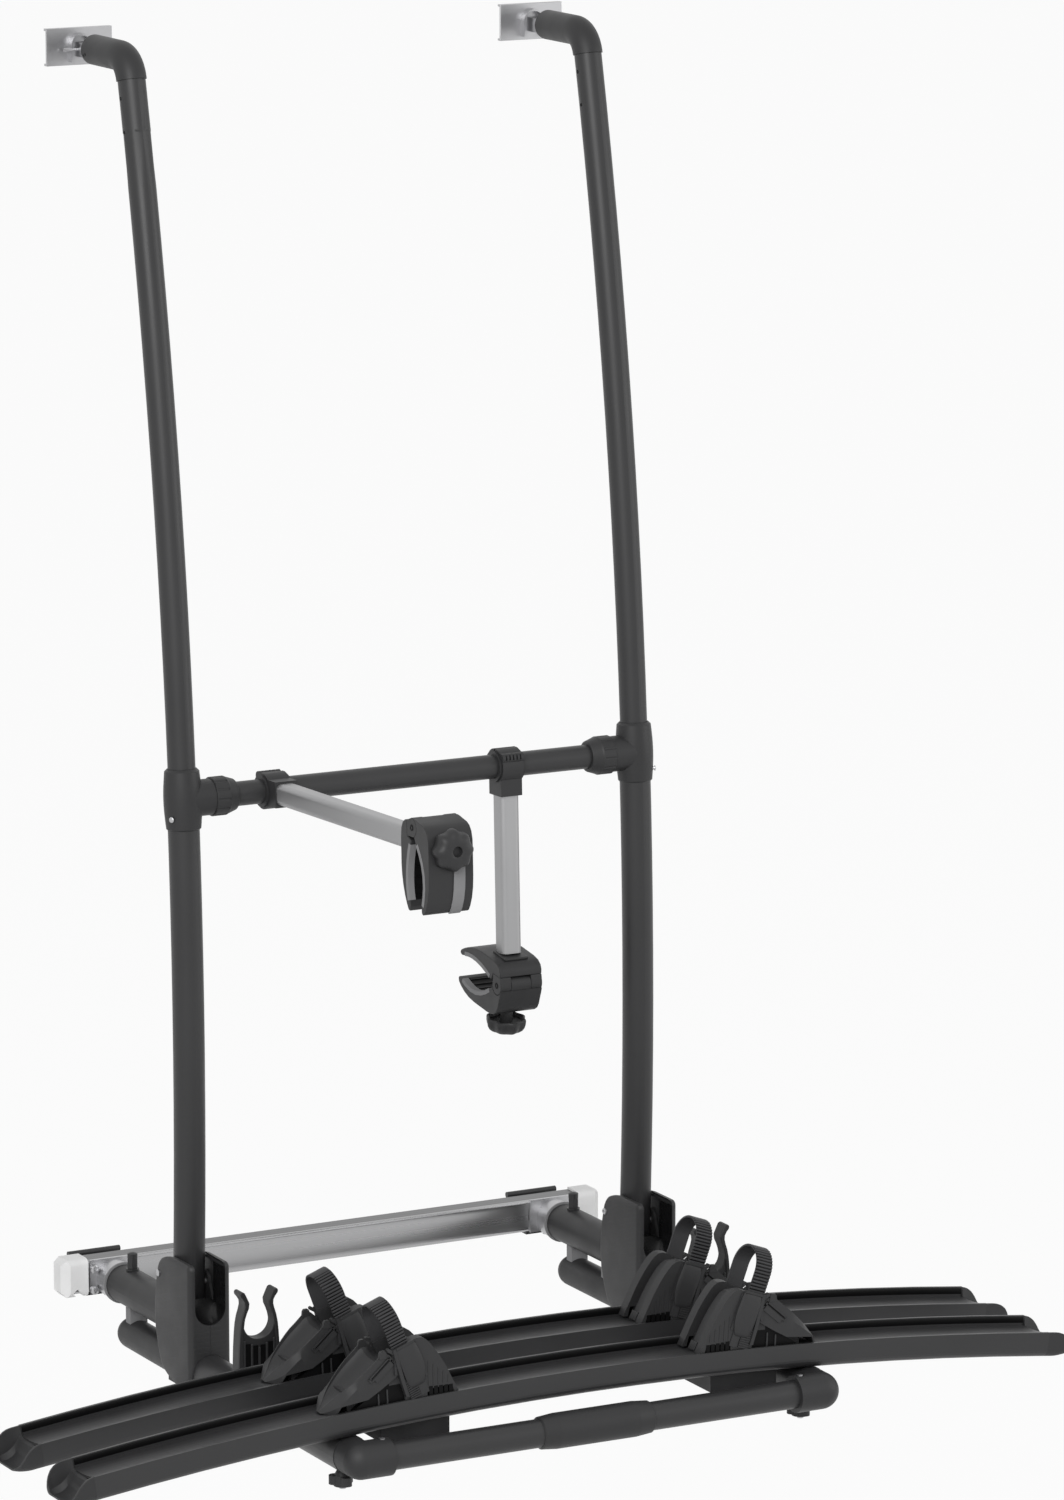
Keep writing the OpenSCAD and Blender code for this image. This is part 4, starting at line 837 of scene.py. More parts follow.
class JawOperator(bpy.types.Operator):
    """Curved jaws of the two frame clamps, their pins and screws"""

    bl_idname = "carrier.jaws"
    bl_label = "Clamp jaws"

    def execute(self, context):
        for i in ARMS:
            place = head_place(i)
            for part, draw, body in (
                ("rear", draw_rear_jaw, f"arm_{i}"), ("front", draw_front_jaw, f"jaw_{i}"),
            ):
                form = drawn(draw, place)
                name = f"curved_{part}_jaw_{i}"
                piece = make_piece(
                    name, form, body, "Black moulded plastic", 42
                )
                round_off(piece, 2.0, 38.0, 3)
                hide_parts(f"{part}_jaw_{i}")
            form = drawn(draw_pin, place)
            make_piece(f"clamp_pin_{i}", form, f"arm_{i}", "Painted shade and dark pins", 42)
            form = drawn(draw_screw, place, CLAMPS[i][-1])
            make_piece(
                f"clamp_screw_{i}", form, f"jaw_{i}", "Zinc plated steel", 42
            )
        return {"FINISHED"}


def draw_liner(form, path, thickness):
    """Two strips along a mouth, one at each side of the jaw."""
    proud = offset_path(path, 0.7)
    add_band(form, proud, -thickness, -JAW_HALF - 0.4, -JAW_HALF + LINER_WIDTH)
    add_band(form, proud, -thickness, JAW_HALF - LINER_WIDTH, JAW_HALF + 0.4)


def draw_hollow_shade(form, path, ribs=6):
    """Painted shade: a dark bed between the strips of a liner, with ribs across it."""
    inside = JAW_HALF - LINER_WIDTH
    add_band(form, offset_path(path, 0.2), -2.0, 0.2 - inside, inside - 0.2)
    for k in range(ribs):
        spot = (k + 0.5) / ribs * (len(path) - 1)
        j = int(spot)
        y, z = (along(a, b, spot - j) for a, b in zip(path[j], path[j + 1]))
        add_block(form, 0.3 - inside, inside - 0.3, y - 1.2, y + 1.2, z - 0.7, z + 0.7)


class LinerOperator(bpy.types.Operator):
    """Grey liners and ribbed hollows of painted shade in the clamps' mouths, and the front jaws'
    straps
    """

    bl_idname = "carrier.liners"
    bl_label = "Clamp liners"

    def execute(self, context):
        thickness = context.scene.carrier_mouldings.liner / MM
        for i in ARMS:
            place = head_place(i)
            for part, path, body in (
                ("front", FRONT_MOUTH, f"jaw_{i}"), ("rear", REAR_MOUTH, f"arm_{i}"),
            ):
                form = drawn(draw_liner, place, path, thickness)
                piece = make_piece(f"{part}_liner_{i}", form, body, "Grey rubber")
                round_off(piece, 0.5)
                # Painted shade in the hollow of each mouth.
                form = drawn(draw_hollow_shade, place, path)
                make_piece(f"{part}_hollow_{i}", form, body, "Painted shade and dark pins")
            form = drawn(add_band, place, FRONT_FACE + [(-67.6, -79.9)], -1.6, 3.4, 18.6)
            piece = make_piece(f"jaw_strap_{i}", form, f"jaw_{i}", "Grey rubber")
            round_off(piece, 0.4)
        return {"FINISHED"}


def knob_ring(radius, cut, y, lobes=8, steps=128):
    ring = []
    for k in range(steps):
        turn = 2 * math.pi * k / steps
        r = radius - cut * (0.5 - 0.5 * math.cos(lobes * turn))
        ring.append((r * math.cos(turn), y, r * math.sin(turn)))
    return ring


def draw_knob(form, out):
    neck = min(0.0, 1.0 - out)
    profile = [(5.0, 0, neck), (7.6, 0, neck)] + KNOB_CUP
    add_rings(form, [knob_ring(radius, cut, -84.3 - out - z) for radius, cut, z in profile])


class ClampKnobOperator(bpy.types.Operator):
    """Cup-shaped fluted knobs of the two frame clamps"""

    bl_idname = "carrier.clamp_knobs"
    bl_label = "Clamp knobs"

    def execute(self, context):
        for i in ARMS:
            form = drawn(draw_knob, head_place(i), CLAMPS[i][-1])
            body = f"clamp_knob_{i}"
            piece = make_piece(
                f"lobed_knob_{i}", form, body, "Black moulded plastic", 44
            )
            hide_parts(f"clamp_knob_{i}")
        return {"FINISHED"}


# Clips that hold the uprights when the platform is folded up

UPRIGHT_X = 320.0
ARM_Z = -59.0
CLIP_Y = 450.0
CLIP_ARCH = 24.6
CLIP_BORE = 20.5
CLIP_BORE_Z = 43.0
CLIP_OUTER = [
    (29, -46), (28.6, -20), (27.8, 10), (26.6, 30), (25.4, 42), (23.4, 52), (20.8, 60),
    (19.4, 66), (19.8, 71), (22.4, 75.5), (25.4, 79), (26.2, 82), (24.8, 84.4), (22, 84.8),
    (19.6, 83.2), (17.4, 78.8), (15.2, 74), (13.2, 69.6), (14, 63), (16.8, 57), (19.2, 50),
]
CLIP_RIDGE = CLIP_OUTER + [(19.8, 47), (22, 30), (22.6, -30)]


def draw_clips(form):
    bore = arc(0, CLIP_BORE_Z, CLIP_BORE, 0, -180, 30)
    outline = CLIP_OUTER + bore + [(-x, z) for x, z in reversed(CLIP_OUTER)]
    outline += arc(0, ARM_Z, CLIP_ARCH, 148, 34, 19)
    for x0 in (-UPRIGHT_X, UPRIGHT_X):
        add_side_plate(form, [(x0 + x, z) for x, z in outline], -CLIP_Y - 8, -CLIP_Y + 10)
        for k in range(5):
            x = x0 - 22 + 10.2 * k
            top = 12 + abs(2 - k) * 5
            add_block(form, x, x + 3.2, -CLIP_Y - 10, -CLIP_Y - 7, -30, top)
        for hand in (1, -1):
            ridge = [(x0 + hand * x, z) for x, z in CLIP_RIDGE]
            add_side_plate(form, ridge, -CLIP_Y - 10, -CLIP_Y - 7)


# Painted shade: dark blocks in the recesses between the clips' ribs.
def draw_clip_recesses(form):
    for x0 in (-UPRIGHT_X, UPRIGHT_X):
        for k in range(4):
            x = x0 - 18.6 + 10.2 * k
            top = 13 + 3 * abs(1.5 - k)
            add_block(form, x, x + 6.6, -CLIP_Y - 9.2, -CLIP_Y - 7.5, -30, top)


class ClipOperator(bpy.types.Operator):
    """Two spring clips with rounded tips on the side arms"""

    bl_idname = "carrier.clips"
    bl_label = "Upright clips"

    def execute(self, context):
        # The recesses between the ribs take painted shade.
        form = drawn(draw_clip_recesses, Matrix())
        make_piece("clip_recess_shade", form, "platform", "Painted shade and dark pins")
        form = drawn(draw_clips, Matrix())
        piece = make_piece(
            "spring_clips", form, "platform", "Black moulded plastic", 40
        )
        round_off(piece, 1.1)
        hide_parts("upright_clips")
        return {"FINISHED"}


# Covers of the hinges: back and front edges against the height, and the shell's section

COVER_FRONT = 318.0
COVER_TOP = 82.5
COVER_HALF = 29.0
COVER_WALL = 3.0
COVER_FILLET = 7.0
COVER_CORNER = 8.0
SLOT_HALF = 21.0
SLOT_BOTTOM = 25.0
ARM_HOLE = 24.3
COVER_BACK = [
    (-84, -284), (-79, -271), (-72, -246), (-66, -235), (-60, -229.5), (-43, -221.5),
    (-24, -215.2), (-10, -213), (4, -212.6), (20, -213.8), (35, -216), (50, -219.2), (62, -223),
    (70, -228), (76, -236), (80, -247), (81.8, -257), (83, -268),
]
COVER_NOSE = [
    (-84, -288), (-81, -296), (-76, -303), (-70, -310), (-62, -316), (-56, -318), (83, -318),
]
COVER_SCREW = (-227.0, 54.0)

# Head of the screw: how far it stands out, and its radius
SCREW_HEAD = ((0.0, 4.4), (1.4, 4.2), (2.2, 3.2), (2.4, 2.0), (1.2, 1.8))


def chord(radius, height):
    """Half width of a circle at a height above its middle."""
    return math.sqrt(max(0.0, radius**2 - height**2))


def open_half(z):
    """Half width of what a cover leaves open: the upright's slot above, the arm's hole below."""
    if z > SLOT_BOTTOM - SLOT_HALF:
        return chord(SLOT_HALF, max(SLOT_BOTTOM - z, 0.0))
    if z < ARM_Z + ARM_HOLE:
        return chord(ARM_HOLE, max(z - ARM_Z, 0.0))
    return 0.0


def cover_levels():
    levels = [-82 + 3 * k for k in range(8)]
    levels += [ARM_Z - ARM_HOLE * math.cos(math.pi * k / 12) for k in range(7, 13)]
    levels += [ARM_Z + ARM_HOLE + 0.05, -20, -8]
    levels += [SLOT_BOTTOM - SLOT_HALF * math.cos(math.pi / 2 * k / 10) for k in range(11)]
    levels += [35, 45, 55, 62, 68, 72, 75, 77.4, 79.2, 80.6, 81.6, 82.2, COVER_TOP]
    return sorted(set(levels))


def cover_section(z):
    """Section of a half cover at a height, as (x, y) from the upright's middle."""
    rise = max(0.0, z - (COVER_TOP - COVER_FILLET)) / COVER_FILLET
    drawn_in = COVER_FILLET * (1 - chord(1.0, rise))
    half = COVER_HALF - 0.55 * drawn_in
    front = read_off(COVER_NOSE, z) + 0.9 * drawn_in
    back = max(read_off(COVER_BACK, z), front + 13)
    inside = max(0.15, min(open_half(z), half - 4.5))
    corner = min(COVER_CORNER, half - inside)
    skin = COVER_WALL if rise <= 0 else 3.6
    inner = max(corner - skin, 0.5)
    middle = along(front + corner, back - 5, 0.5)
    section = [(inside, front), (along(inside, half - corner, 0.5), front)]
    section += arc(half - corner, front + corner, corner, -90, 0, 6)
    section += [(half, middle), (half, back - 4.5), (half - 0.5, back - 1.8)]
    section += [(half - 1.6, back - 0.3), (half - COVER_WALL, back), (half - skin, middle)]
    section += arc(half - skin - inner, front + skin + inner, inner, 0, -90, 6)
    return section + [(min(inside, half - skin - inner), front + skin)]


def draw_half_cover(form):
    add_rings(form, [[(x, y, z) for x, y in cover_section(z)] for z in cover_levels()])
    add_block(
        form, SLOT_HALF + 0.4, COVER_HALF - 3.4, -COVER_FRONT + 4, -252,
        COVER_TOP - 6, COVER_TOP - 2.6,
    )


class HingeCoverOperator(bpy.types.Operator):
    """Rounded half covers round both hinges, and the screw heads on their sides"""

    bl_idname = "carrier.hinge_covers"
    bl_label = "Hinge covers"

    def execute(self, context):
        for name, hand in (("outer", 1), ("inner", -1)):
            form = bmesh.new()
            for side in (-1, 1):
                first = len(form.verts)
                draw_half_cover(form)
                place = Matrix.Translation((side * UPRIGHT_X * MM, 0, 0))
                move(form, place @ Matrix.Diagonal((side * hand, 1, 1, 1)), first)
            piece = make_piece(
                f"rounded_covers_{name}", form, "platform",
                "Hatched cover plastic", 40,
            )
            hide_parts(f"hinge_covers_{name}")
        form = bmesh.new()
        for side in (-1, 1):
            rings = []
            for proud, radius in SCREW_HEAD:
                x = side * (UPRIGHT_X - COVER_HALF - proud)
                rings.append([(x, y, z) for y, z in circle(*COVER_SCREW, radius, 24)])
            add_rings(form, rings)
        make_piece(
            "inner_cover_screws", form, "platform", "Zinc plated steel", 40
        )
        return {"FINISHED"}


# Cups in the covers' slots: half width, depth at the front, top, and their front and back ends
CUP_HALF = 20.75
CUP_DEPTH = 20.4
CUP_TOP = 76.0
CUP_ENDS = (-317.4, -284.0)


def draw_cup(form, x0):
    rings = []
    for k in range(13):
        share = k / 12
        depth = CUP_DEPTH - 25 * share**1.6
        walls = [(-CUP_HALF, CUP_TOP)]
        for j in range(25):
            turn = math.pi * j / 24
            walls.append((-CUP_HALF * math.cos(turn), SLOT_BOTTOM - depth * math.sin(turn)))
        walls.append((CUP_HALF, CUP_TOP))
        inner = [(x * 0.982, z + (0.35 if abs(x) < 20.7 else 0)) for x, z in walls]
        y = along(*CUP_ENDS, share)
        rings.append([(x0 + x, y, z) for x, z in walls + inner[::-1]])
    add_rings(form, rings)


class HingeCupOperator(bpy.types.Operator):
    """Smooth cups in the recesses of the hinge covers, open to the upright, darkened with painted
    shade
    """

    bl_idname = "carrier.hinge_cups"
    bl_label = "Hinge cups"

    def execute(self, context):
        for side, x0 in zip(SIDES, (-UPRIGHT_X, UPRIGHT_X)):
            form = drawn(draw_cup, Matrix(), x0)
            # The cups' darkness is painted shade inside the recess; their gloss is the plastic's
            # own.
            make_piece(
                f"hinge_cup_{side}", form, "platform", "Gloss plastic with painted recess shade", 60
            )
        return {"FINISHED"}


# Wheel rails: strips of painted shade inside the back walls, and beaked end caps

TRACK_HALF = 666.0
TRACK_HEIGHT = 40.0
STRIP_HALF = 664.0
STRIP_PROFILE = [
    (2.6, -0.9), (3.6, -1.3), (4.6, -2.2), (5.0, -3.4), (5.0, -8.2), (4.6, -9.2), (3.4, -9.2),
]
CAP_LENGTH = 37.0
CAP_WALL = 3.4
CAP_STATIONS = (37, 33, 29, 26, 23, 20, 17, 14.5, 12, 10, 8, 6.5, 5, 3.8, 2.6, 1.6, 0.8, 0.1)

# Share of the full wall height against the distance from the tip, for the two walls of a cap
LONG_DROP = [
    (0, 0.12), (3, 0.17), (7, 0.28), (12, 0.47), (17, 0.68), (22, 0.84), (28, 0.95), (34, 0.99),
    (40, 1),
]
ROUND_DROP = [(0, 0.2), (1.5, 0.42), (4, 0.6), (8, 0.78), (13, 0.91), (19, 0.98), (25, 1)]


def draw_rail_strip(form, back):
    """Strip along the arch, whose profile is given as distances inward and above the arch."""
    rings = []
    for k in range(97):
        turn = math.asin(along(-STRIP_HALF, STRIP_HALF, k / 96) / ARCH_RADIUS)
        ring = []
        for y, lift in STRIP_PROFILE:
            radius = ARCH_RADIUS + lift
            height = ARCH_TOP - ARCH_RADIUS + radius * math.cos(turn)
            ring.append((radius * math.sin(turn), -back - y, height))
        rings.append(ring)
    add_rings(form, rings)


class RailStripOperator(bpy.types.Operator):
    """Painted shade: dark strips inside the back walls of the two wheel rails"""

    bl_idname = "carrier.rail_strips"
    bl_label = "Rail strips"

    def execute(self, context):
        for name, back in TRACKS.items():
            form = drawn(draw_rail_strip, Matrix(), back)
            # Each strip takes the painted shade finish.
            make_piece(f"rail_strip_{name}", form, "platform", "Painted shade and dark pins")
        return {"FINISHED"}


def cap_section(d, near_drop, far_drop):
    """Section of a cap at a distance from its tip, as (y, z) below the rail's top edges."""
    bottom = 5.0 * max(0.0, 1 - d / 24) ** 1.6 - TRACK_HEIGHT
    near_top = along(bottom + 2, -7.0, read_off(near_drop, d))
    far_top = along(bottom + 2, -0.4, read_off(far_drop, d))
    floor = along(bottom + 2.6, -15.0, min(1.0, d / 34) ** 2.4)
    floor = min(floor, near_top - 0.3, far_top - 0.3)
    draw_in = 3.0 * max(0.0, 1 - d / 9) ** 2
    near, far = 0.1 - RAIL_WIDTH + draw_in, -0.1 - draw_in
    near_wall, far_wall = near + CAP_WALL, far - CAP_WALL
    section = [
        (near, near_top - 0.8), (near + 0.9, near_top), (near_wall, near_top - 0.2),
        (near_wall + 3, along(floor, near_top, 0.25)), (near_wall + 8, floor),
        (far_wall - 10, floor), (far_wall - 3, along(floor, far_top, 0.2)),
        (far_wall, far_top - 0.2), (far - 0.9, far_top), (far, far_top - 0.8),
    ]
    for y, z in arc(far - 6, bottom + 6, 6, 0, -90, 6):
        section.append((y, min(max(z, bottom), far_top - 1.2)))
    for y, z in arc(near + 12, bottom + 12, 12, 270, 180, 6):
        section.append((y, min(z, near_top - 1.2)))
    return section


class RailCapOperator(bpy.types.Operator):
    """Caps of the wheel rails, whose walls drop to a beak at the tip"""

    bl_idname = "carrier.rail_caps"
    bl_label = "Rail caps"

    def execute(self, context):
        form = bmesh.new()
        for back in TRACKS.values():
            for hand, drops in ((-1, (LONG_DROP, ROUND_DROP)), (1, (ROUND_DROP, LONG_DROP))):
                first = len(form.verts)
                rings = []
                for d in CAP_STATIONS:
                    rings.append([(CAP_LENGTH - d, y, z) for y, z in cap_section(d, *drops)])
                add_rings(form, rings)
                place = Matrix.Diagonal((hand, 1, 1, 1)) @ on_rail(TRACK_HALF, back)
                move(form, place, first)
        piece = make_piece(
            "beaked_rail_caps", form, "platform", "Black moulded plastic", 42
        )
        round_off(piece, 0.7)
        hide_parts("rail_caps")
        return {"FINISHED"}


# Door rail: half length, depth, half height and corner radius
DOOR_RAIL_HALF = 374.0
DOOR_RAIL_DEPTH = 26.0
DOOR_RAIL_TOP = 22.0
DOOR_RAIL_CORNER = 5.0

# Shallow hollow of the rail's front: depth and height
DOOR_RAIL_HOLLOW = ((0.5, 13), (1.0, 9), (1.3, 4), (1.3, -2), (1.0, -8), (0.5, -13))


def draw_door_rail(form):
    back, high, r = DOOR_RAIL_DEPTH, DOOR_RAIL_TOP, DOOR_RAIL_CORNER
    profile = [(-0.2, -high), (-0.2, high)] + arc(r - back, high - r, r, 90, 180, 9)
    profile += [(y - back, z) for y, z in DOOR_RAIL_HOLLOW]
    profile += arc(r - back, r - high, r, 180, 270, 9)
    rings = []
    for k in range(9):
        x = along(-DOOR_RAIL_HALF, DOOR_RAIL_HALF, k / 8)
        rings.append([(x, y, z) for y, z in profile])
    add_rings(form, rings)


class LowerRailOperator(bpy.types.Operator):
    """Smooth front of the aluminium door rail, with painted shade on its top faces"""

    bl_idname = "carrier.lower_rail"
    bl_label = "Lower rail"

    def execute(self, context):
        form = drawn(draw_door_rail, Matrix())
        piece = make_piece(
            "smooth_door_rail", form, "frame", "Anodised rail", 50
        )
        # The top faces take the darker finish, as painted shade.
        piece.data.materials.append(bpy.data.materials["Rail top painted shade"])
        for face in piece.data.polygons:
            if face.normal.z > 0.95:
                face.material_index = 1
        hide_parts("lower_rail")
        return {"FINISHED"}


# Studio: the camera is fitted to the photograph's view, in metres and millimetres of lens

CAMERA_PLACE = (-4.1829, -8.4960, 2.5818)
CAMERA_FORWARD = (0.45757, 0.86646, -0.19968)
CAMERA_LENS = 179.3
FLOOR_HALF = 60.0
FLOOR_GLOW = 0.93
LAMP_TARGET = (0, -0.4, 0.6)


def directly_seen(tree):
    """1 for rays from the camera, off a gloss or through glass, and 0 for all others."""
    rays = tree.nodes.new("ShaderNodeLightPath")
    mask = rays.outputs["Is Camera Ray"]
    for kind in ("Is Glossy Ray", "Is Transmission Ray"):
        either = add_node(tree, "ShaderNodeMath", operation="MAXIMUM")
        tree.links.new(mask, either.inputs[0])
        tree.links.new(rays.outputs[kind], either.inputs[1])
        mask = either.outputs[0]
    return mask


class StageOperator(bpy.types.Operator):
    """Camera, soft studio light and pale floor"""

    bl_idname = "carrier.stage"
    bl_label = "Studio"

    def execute(self, context):
        stage = context.scene.carrier_stage
        self.add_camera(context)
        self.add_floor(context, -stage.floor_drop)
        self.add_sky(context, stage.sky)
        self.add_lamp(context, "Key light", (-3.6, -4.2, 3.6), 3.2, stage.key_power)
        self.add_lamp(context, "Fill light", (4.0, -3.0, 1.6), 2.6, stage.fill_power)
        context.scene.view_settings.view_transform = "Standard"
        return {"FINISHED"}

    def add_camera(self, context):
        data = bpy.data.cameras.new("Camera")
        data.sensor_width = 36.0
        data.lens = CAMERA_LENS
        data.clip_end = 200.0
        camera = bpy.data.objects.new("Camera", data)
        context.scene.collection.objects.link(camera)
        forward = Vector(CAMERA_FORWARD).normalized()
        right = forward.cross(Vector((0, 0, 1))).normalized()
        up = right.cross(forward)
        turn = Matrix((right, up, -forward)).transposed().to_4x4()
        camera.matrix_world = Matrix.Translation(CAMERA_PLACE) @ turn
        context.scene.camera = camera

    def add_floor(self, context, z):
        """Floor that reads as white, and still takes the carrier's shadow."""
        mesh = bpy.data.meshes.new("floor")
        half = FLOOR_HALF
        corners = [(-half, -half, z), (half, -half, z), (half, half, z), (-half, half, z)]
        mesh.from_pydata(corners, [], [(0, 1, 2, 3)])
        floor = bpy.data.objects.new("floor", mesh)
        context.scene.collection.objects.link(floor)
        material, tree, shader = finish("Pale floor")
        shader.inputs["Base Color"].default_value = (0.88, 0.88, 0.88, 1)
        shader.inputs["Roughness"].default_value = 0.9
        glow = add_node(tree, "ShaderNodeEmission")
        glow.inputs["Color"].default_value = (1, 1, 1, 1)
        share = add_node(tree, "ShaderNodeMath", operation="MULTIPLY")
        share.inputs[1].default_value = FLOOR_GLOW
        mix = tree.nodes.new("ShaderNodeMixShader")
        out = next(n for n in tree.nodes if n.type == "OUTPUT_MATERIAL")
        tree.links.new(directly_seen(tree), share.inputs[0])
        tree.links.new(share.outputs[0], mix.inputs["Fac"])
        tree.links.new(shader.outputs[0], mix.inputs[1])
        tree.links.new(glow.outputs[0], mix.inputs[2])
        tree.links.new(mix.outputs[0], out.inputs["Surface"])
        mesh.materials.append(material)

    def add_sky(self, context, strength):
        world = bpy.data.worlds.new("Studio")
        context.scene.world = world
        world.use_nodes = True
        tree = world.node_tree
        tree.nodes.clear()
        out = tree.nodes.new("ShaderNodeOutputWorld")
        around = add_node(tree, "ShaderNodeBackground")
        around.inputs["Color"].default_value = (1, 1, 1, 1)
        level = add_node(tree, "ShaderNodeMapRange")
        level.inputs["To Min"].default_value = strength
        level.inputs["To Max"].default_value = 1.0
        tree.links.new(directly_seen(tree), level.inputs["Value"])
        tree.links.new(level.outputs[0], around.inputs["Strength"])
        tree.links.new(around.outputs[0], out.inputs["Surface"])

    def add_lamp(self, context, name, place, size, power):
        data = bpy.data.lights.new(name, "AREA")
        data.size = size
        data.energy = power
        lamp = bpy.data.objects.new(name, data)
        context.scene.collection.objects.link(lamp)
        toward = Vector(LAMP_TARGET) - Vector(place)
        lamp.rotation_euler = toward.to_track_quat("-Z", "Y").to_euler()
        lamp.location = place


# Finishes of the solids that show. Pieces made above name theirs.

BLACK_NODES = (
    "support_arms", "upright_feet", "tee_front_shells", "tee_back_shells", "collar_nut_left",
    "collar_nut_right", "top_elbow_left", "top_elbow_right", "corner_joints", "grip_sleeve",
    "rail_brackets", "lock_knob_left", "lock_knob_right", "arm_1_bush", "arm_2_bush",
    "arm_1_bracket", "arm_2_bracket",
)
STEEL_NODES = (
    "frame_bolts", "platform_bolts", "rail_saddles", "top_fixing_left", "top_plate_left",
    "top_fixing_right", "top_plate_right",
)

# Rounding of solids, as a share of the edge rounding
EASED_NODES = (
    ("rail_brackets", 1.2), ("top_plate_left", 0.6), ("top_plate_right", 0.6),
    ("upright_feet", 1.0), ("arm_1_bracket", 0.8), ("arm_2_bracket", 0.8),
)

# Faces of frame_bolts this near to this depth belong to the cap nuts
CAP_NUT_Y = -86.0
CAP_NUT_REACH = 12.0

POLISHED = {"depth": 0.000001, "spread": 0.02}


class TubeFinishOperator(bpy.types.Operator):
    """Powder coat on the steel tubes, plates and wheel rails"""

    bl_idname = "carrier.tubes"
    bl_label = "Coated tubes"

    def execute(self, context):
        coat = coat_finish("Anthracite powder coat", context.scene.carrier_finish.coat)
        for name in (
            "lower_uprights", "crossbar", "upper_upright_left", "upper_upright_right", "side_arms",
            "front_tube", "wheel_rail_front", "wheel_rail_rear", "door_plates",
        ):
            paint(name, coat)
        return {"FINISHED"}


class MetalFinishOperator(bpy.types.Operator):
    """Drawn aluminium of the rail and square tubes, plated steel of plates and screws"""

    bl_idname = "carrier.metal"
    bl_label = "Bare metal"

    def execute(self, context):
        colours = context.scene.carrier_finish
        aluminium = colours.aluminium
        rail_lines, tube_lines = (3.0, 900.0, 900.0), (500.0, 60.0, 60.0)
        metal_finish("Anodised rail", shade(aluminium, 0.58), (0.26, 0.3), rail_lines, **POLISHED)
        tube = metal_finish("Satin tube", shade(aluminium, 0.52), (0.42, 0.52), tube_lines, 0.85)
        steel = metal_finish(
            "Zinc plated steel", colours.steel, (0.33, 0.37), (900.0, 900.0, 900.0), **POLISHED
        )
        # Darker aluminium for the door rail's top faces: painted shade.
        metal_finish("Rail top painted shade", shade(aluminium, 0.26), (0.4, 0.5), rail_lines)
        for i in ARMS:
            paint(f"arm_{i}_tube", tube)
        for name in STEEL_NODES:
            paint(name, steel)
        nuts = plastic_finish("Black nut cover", colours.plastic, (0.35, 0.45))
        bolts = nodes["frame_bolts"]
        bolts.data.materials.append(nuts)
        last = len(bolts.data.materials) - 1
        for face in bolts.data.polygons:
            centre = bolts.matrix_world @ face.center / MM
            if abs(centre.y - CAP_NUT_Y) < CAP_NUT_REACH:
                face.material_index = last
        return {"FINISHED"}


class MouldedFinishOperator(bpy.types.Operator):
    """Plastic shells, joints and caps with rounded edges"""

    bl_idname = "carrier.moulded"
    bl_label = "Moulded pieces"

    def execute(self, context):
        colours = context.scene.carrier_finish
        ease = context.scene.carrier_mouldings.easing
        plastic = colours.plastic
        black = plastic_finish("Black moulded plastic", plastic)
        hatch = ((0.0, 0.30, 0.95), 0.0062, 0.00025)
        plastic_finish("Hatched cover plastic", plastic, hatch=hatch)
        plastic_finish("Holder plastic", colours.holder, (0.5, 0.62))
        white = plastic_finish("White cap plastic", colours.cap, (0.4, 0.5))
        rubber = plastic_finish("Grey rubber", colours.rubber, (0.65, 0.8), 0.0009)
        plastic_finish("Strap rubber", colours.strap, (0.5, 0.6), 0.0008)
        # Glossy like the real cups, and darkened to 0.3 of the moulded colour as painted shade
        # inside the covers' recesses.
        plastic_finish("Gloss plastic with painted recess shade", shade(plastic, 0.3), (0.22, 0.3))
        # Near black with little gloss: painted shade for gaps, grooves, hollows, recesses and rail
        # strips, and also the colour of the dark clamp pins.
        plastic_finish("Painted shade and dark pins", shade(plastic, 0.16), (0.4, 0.5), gloss=0.1)
        for name in BLACK_NODES:
            paint(name, black)
        paint("rail_end_caps", white)
        paint("rubber_pads", rubber)
        for name, width in EASED_NODES:
            ease_edges(name, ease * width)
        return {"FINISHED"}


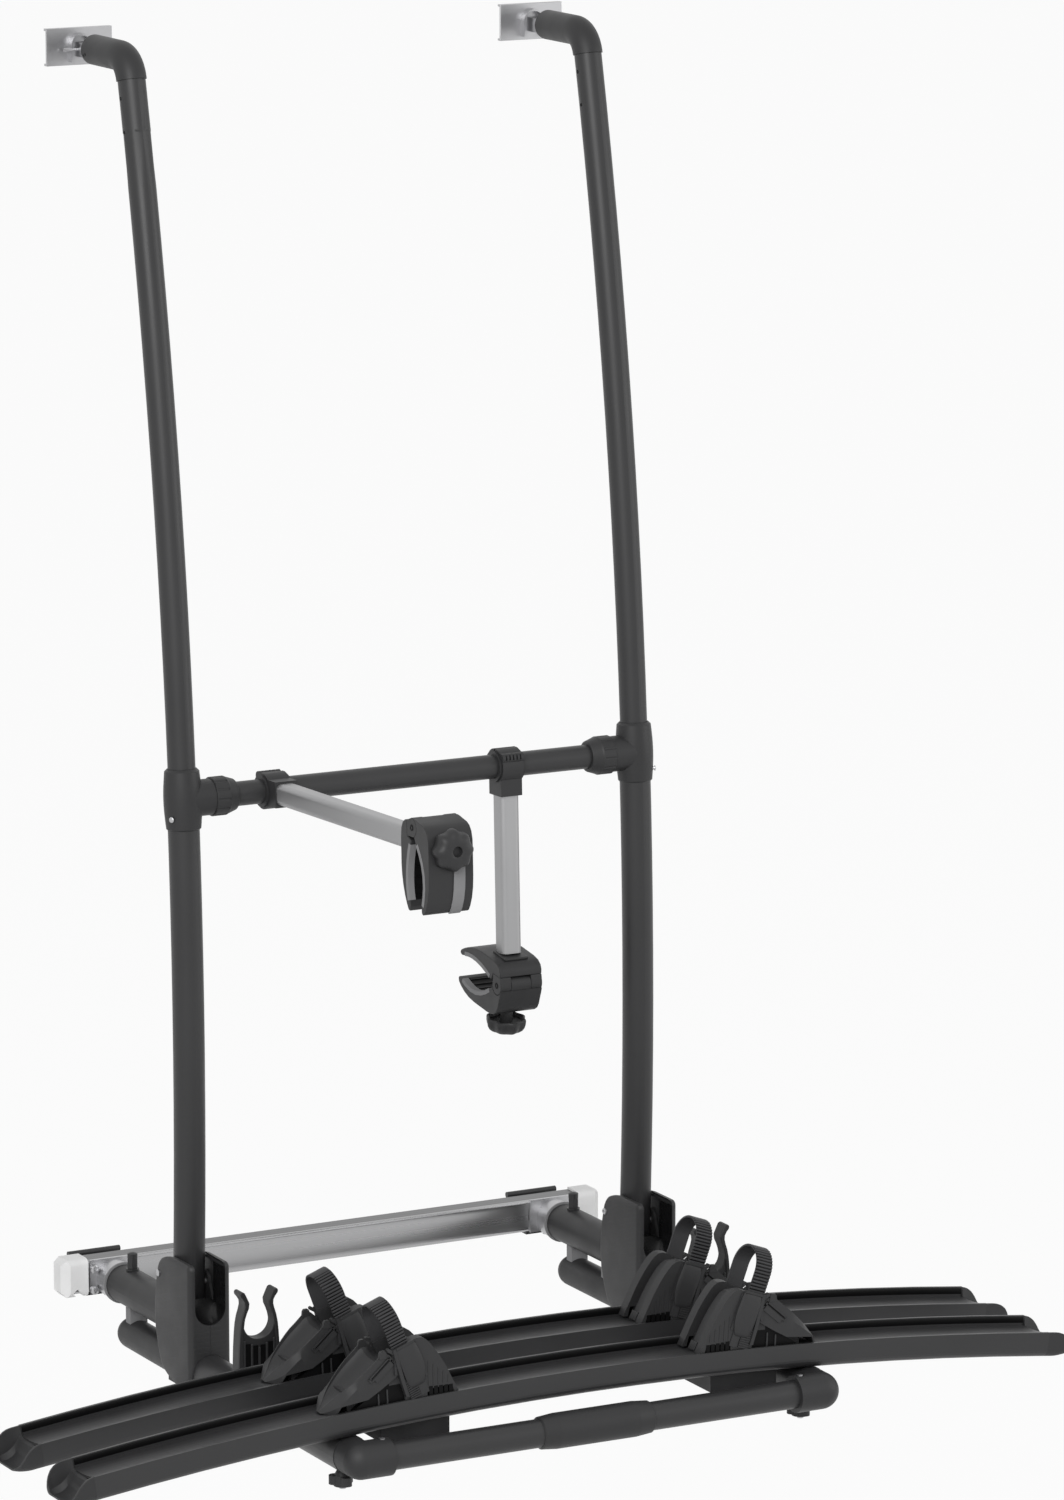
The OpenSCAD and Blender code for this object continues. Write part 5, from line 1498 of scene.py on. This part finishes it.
class CarrierPanel(bpy.types.Panel):
    bl_idname = "VIEW3D_PT_carrier"
    bl_label = "Rear bike carrier"
    bl_space_type = "VIEW_3D"
    bl_region_type = "UI"
    bl_category = "Carrier"

    def draw(self, context):
        for operator in OPERATORS:
            self.layout.operator(operator.bl_idname)
        for group in ("carrier_finish", "carrier_mouldings", "carrier_stage"):
            settings = getattr(context.scene, group)
            for name in settings.__annotations__:
                self.layout.prop(settings, name)


OPERATORS = (
    TubeFinishOperator, MetalFinishOperator, MouldedFinishOperator, HolderOperator, LeverOperator,
    StrapOperator, JawOperator, LinerOperator, ClampKnobOperator, ClipOperator,
    HingeCoverOperator, HingeCupOperator, RailStripOperator, RailCapOperator, LowerRailOperator,
    StageOperator,
)
GROUPS = (CarrierFinish, CarrierMouldings, CarrierStage)
CLASSES = (*GROUPS, *OPERATORS, CarrierPanel)


def register():
    for item in CLASSES:
        bpy.utils.register_class(item)
    bpy.types.Scene.carrier_finish = PointerProperty(type=CarrierFinish)
    bpy.types.Scene.carrier_mouldings = PointerProperty(type=CarrierMouldings)
    bpy.types.Scene.carrier_stage = PointerProperty(type=CarrierStage)


def unregister():
    del bpy.types.Scene.carrier_finish
    del bpy.types.Scene.carrier_mouldings
    del bpy.types.Scene.carrier_stage
    for item in reversed(CLASSES):
        bpy.utils.unregister_class(item)


def main():
    register()
    for build in (moulded_grain_group, drawn_lines_group, hatch_group):
        build()
    bpy.ops.carrier.tubes()
    bpy.ops.carrier.metal()
    bpy.ops.carrier.moulded()
    bpy.ops.carrier.holders()
    bpy.ops.carrier.levers()
    bpy.ops.carrier.straps()
    bpy.ops.carrier.jaws()
    bpy.ops.carrier.liners()
    bpy.ops.carrier.clamp_knobs()
    bpy.ops.carrier.clips()
    bpy.ops.carrier.hinge_covers()
    bpy.ops.carrier.hinge_cups()
    bpy.ops.carrier.rail_strips()
    bpy.ops.carrier.rail_caps()
    bpy.ops.carrier.lower_rail()
    bpy.ops.carrier.stage()


if __name__ == "__main__":
    main()
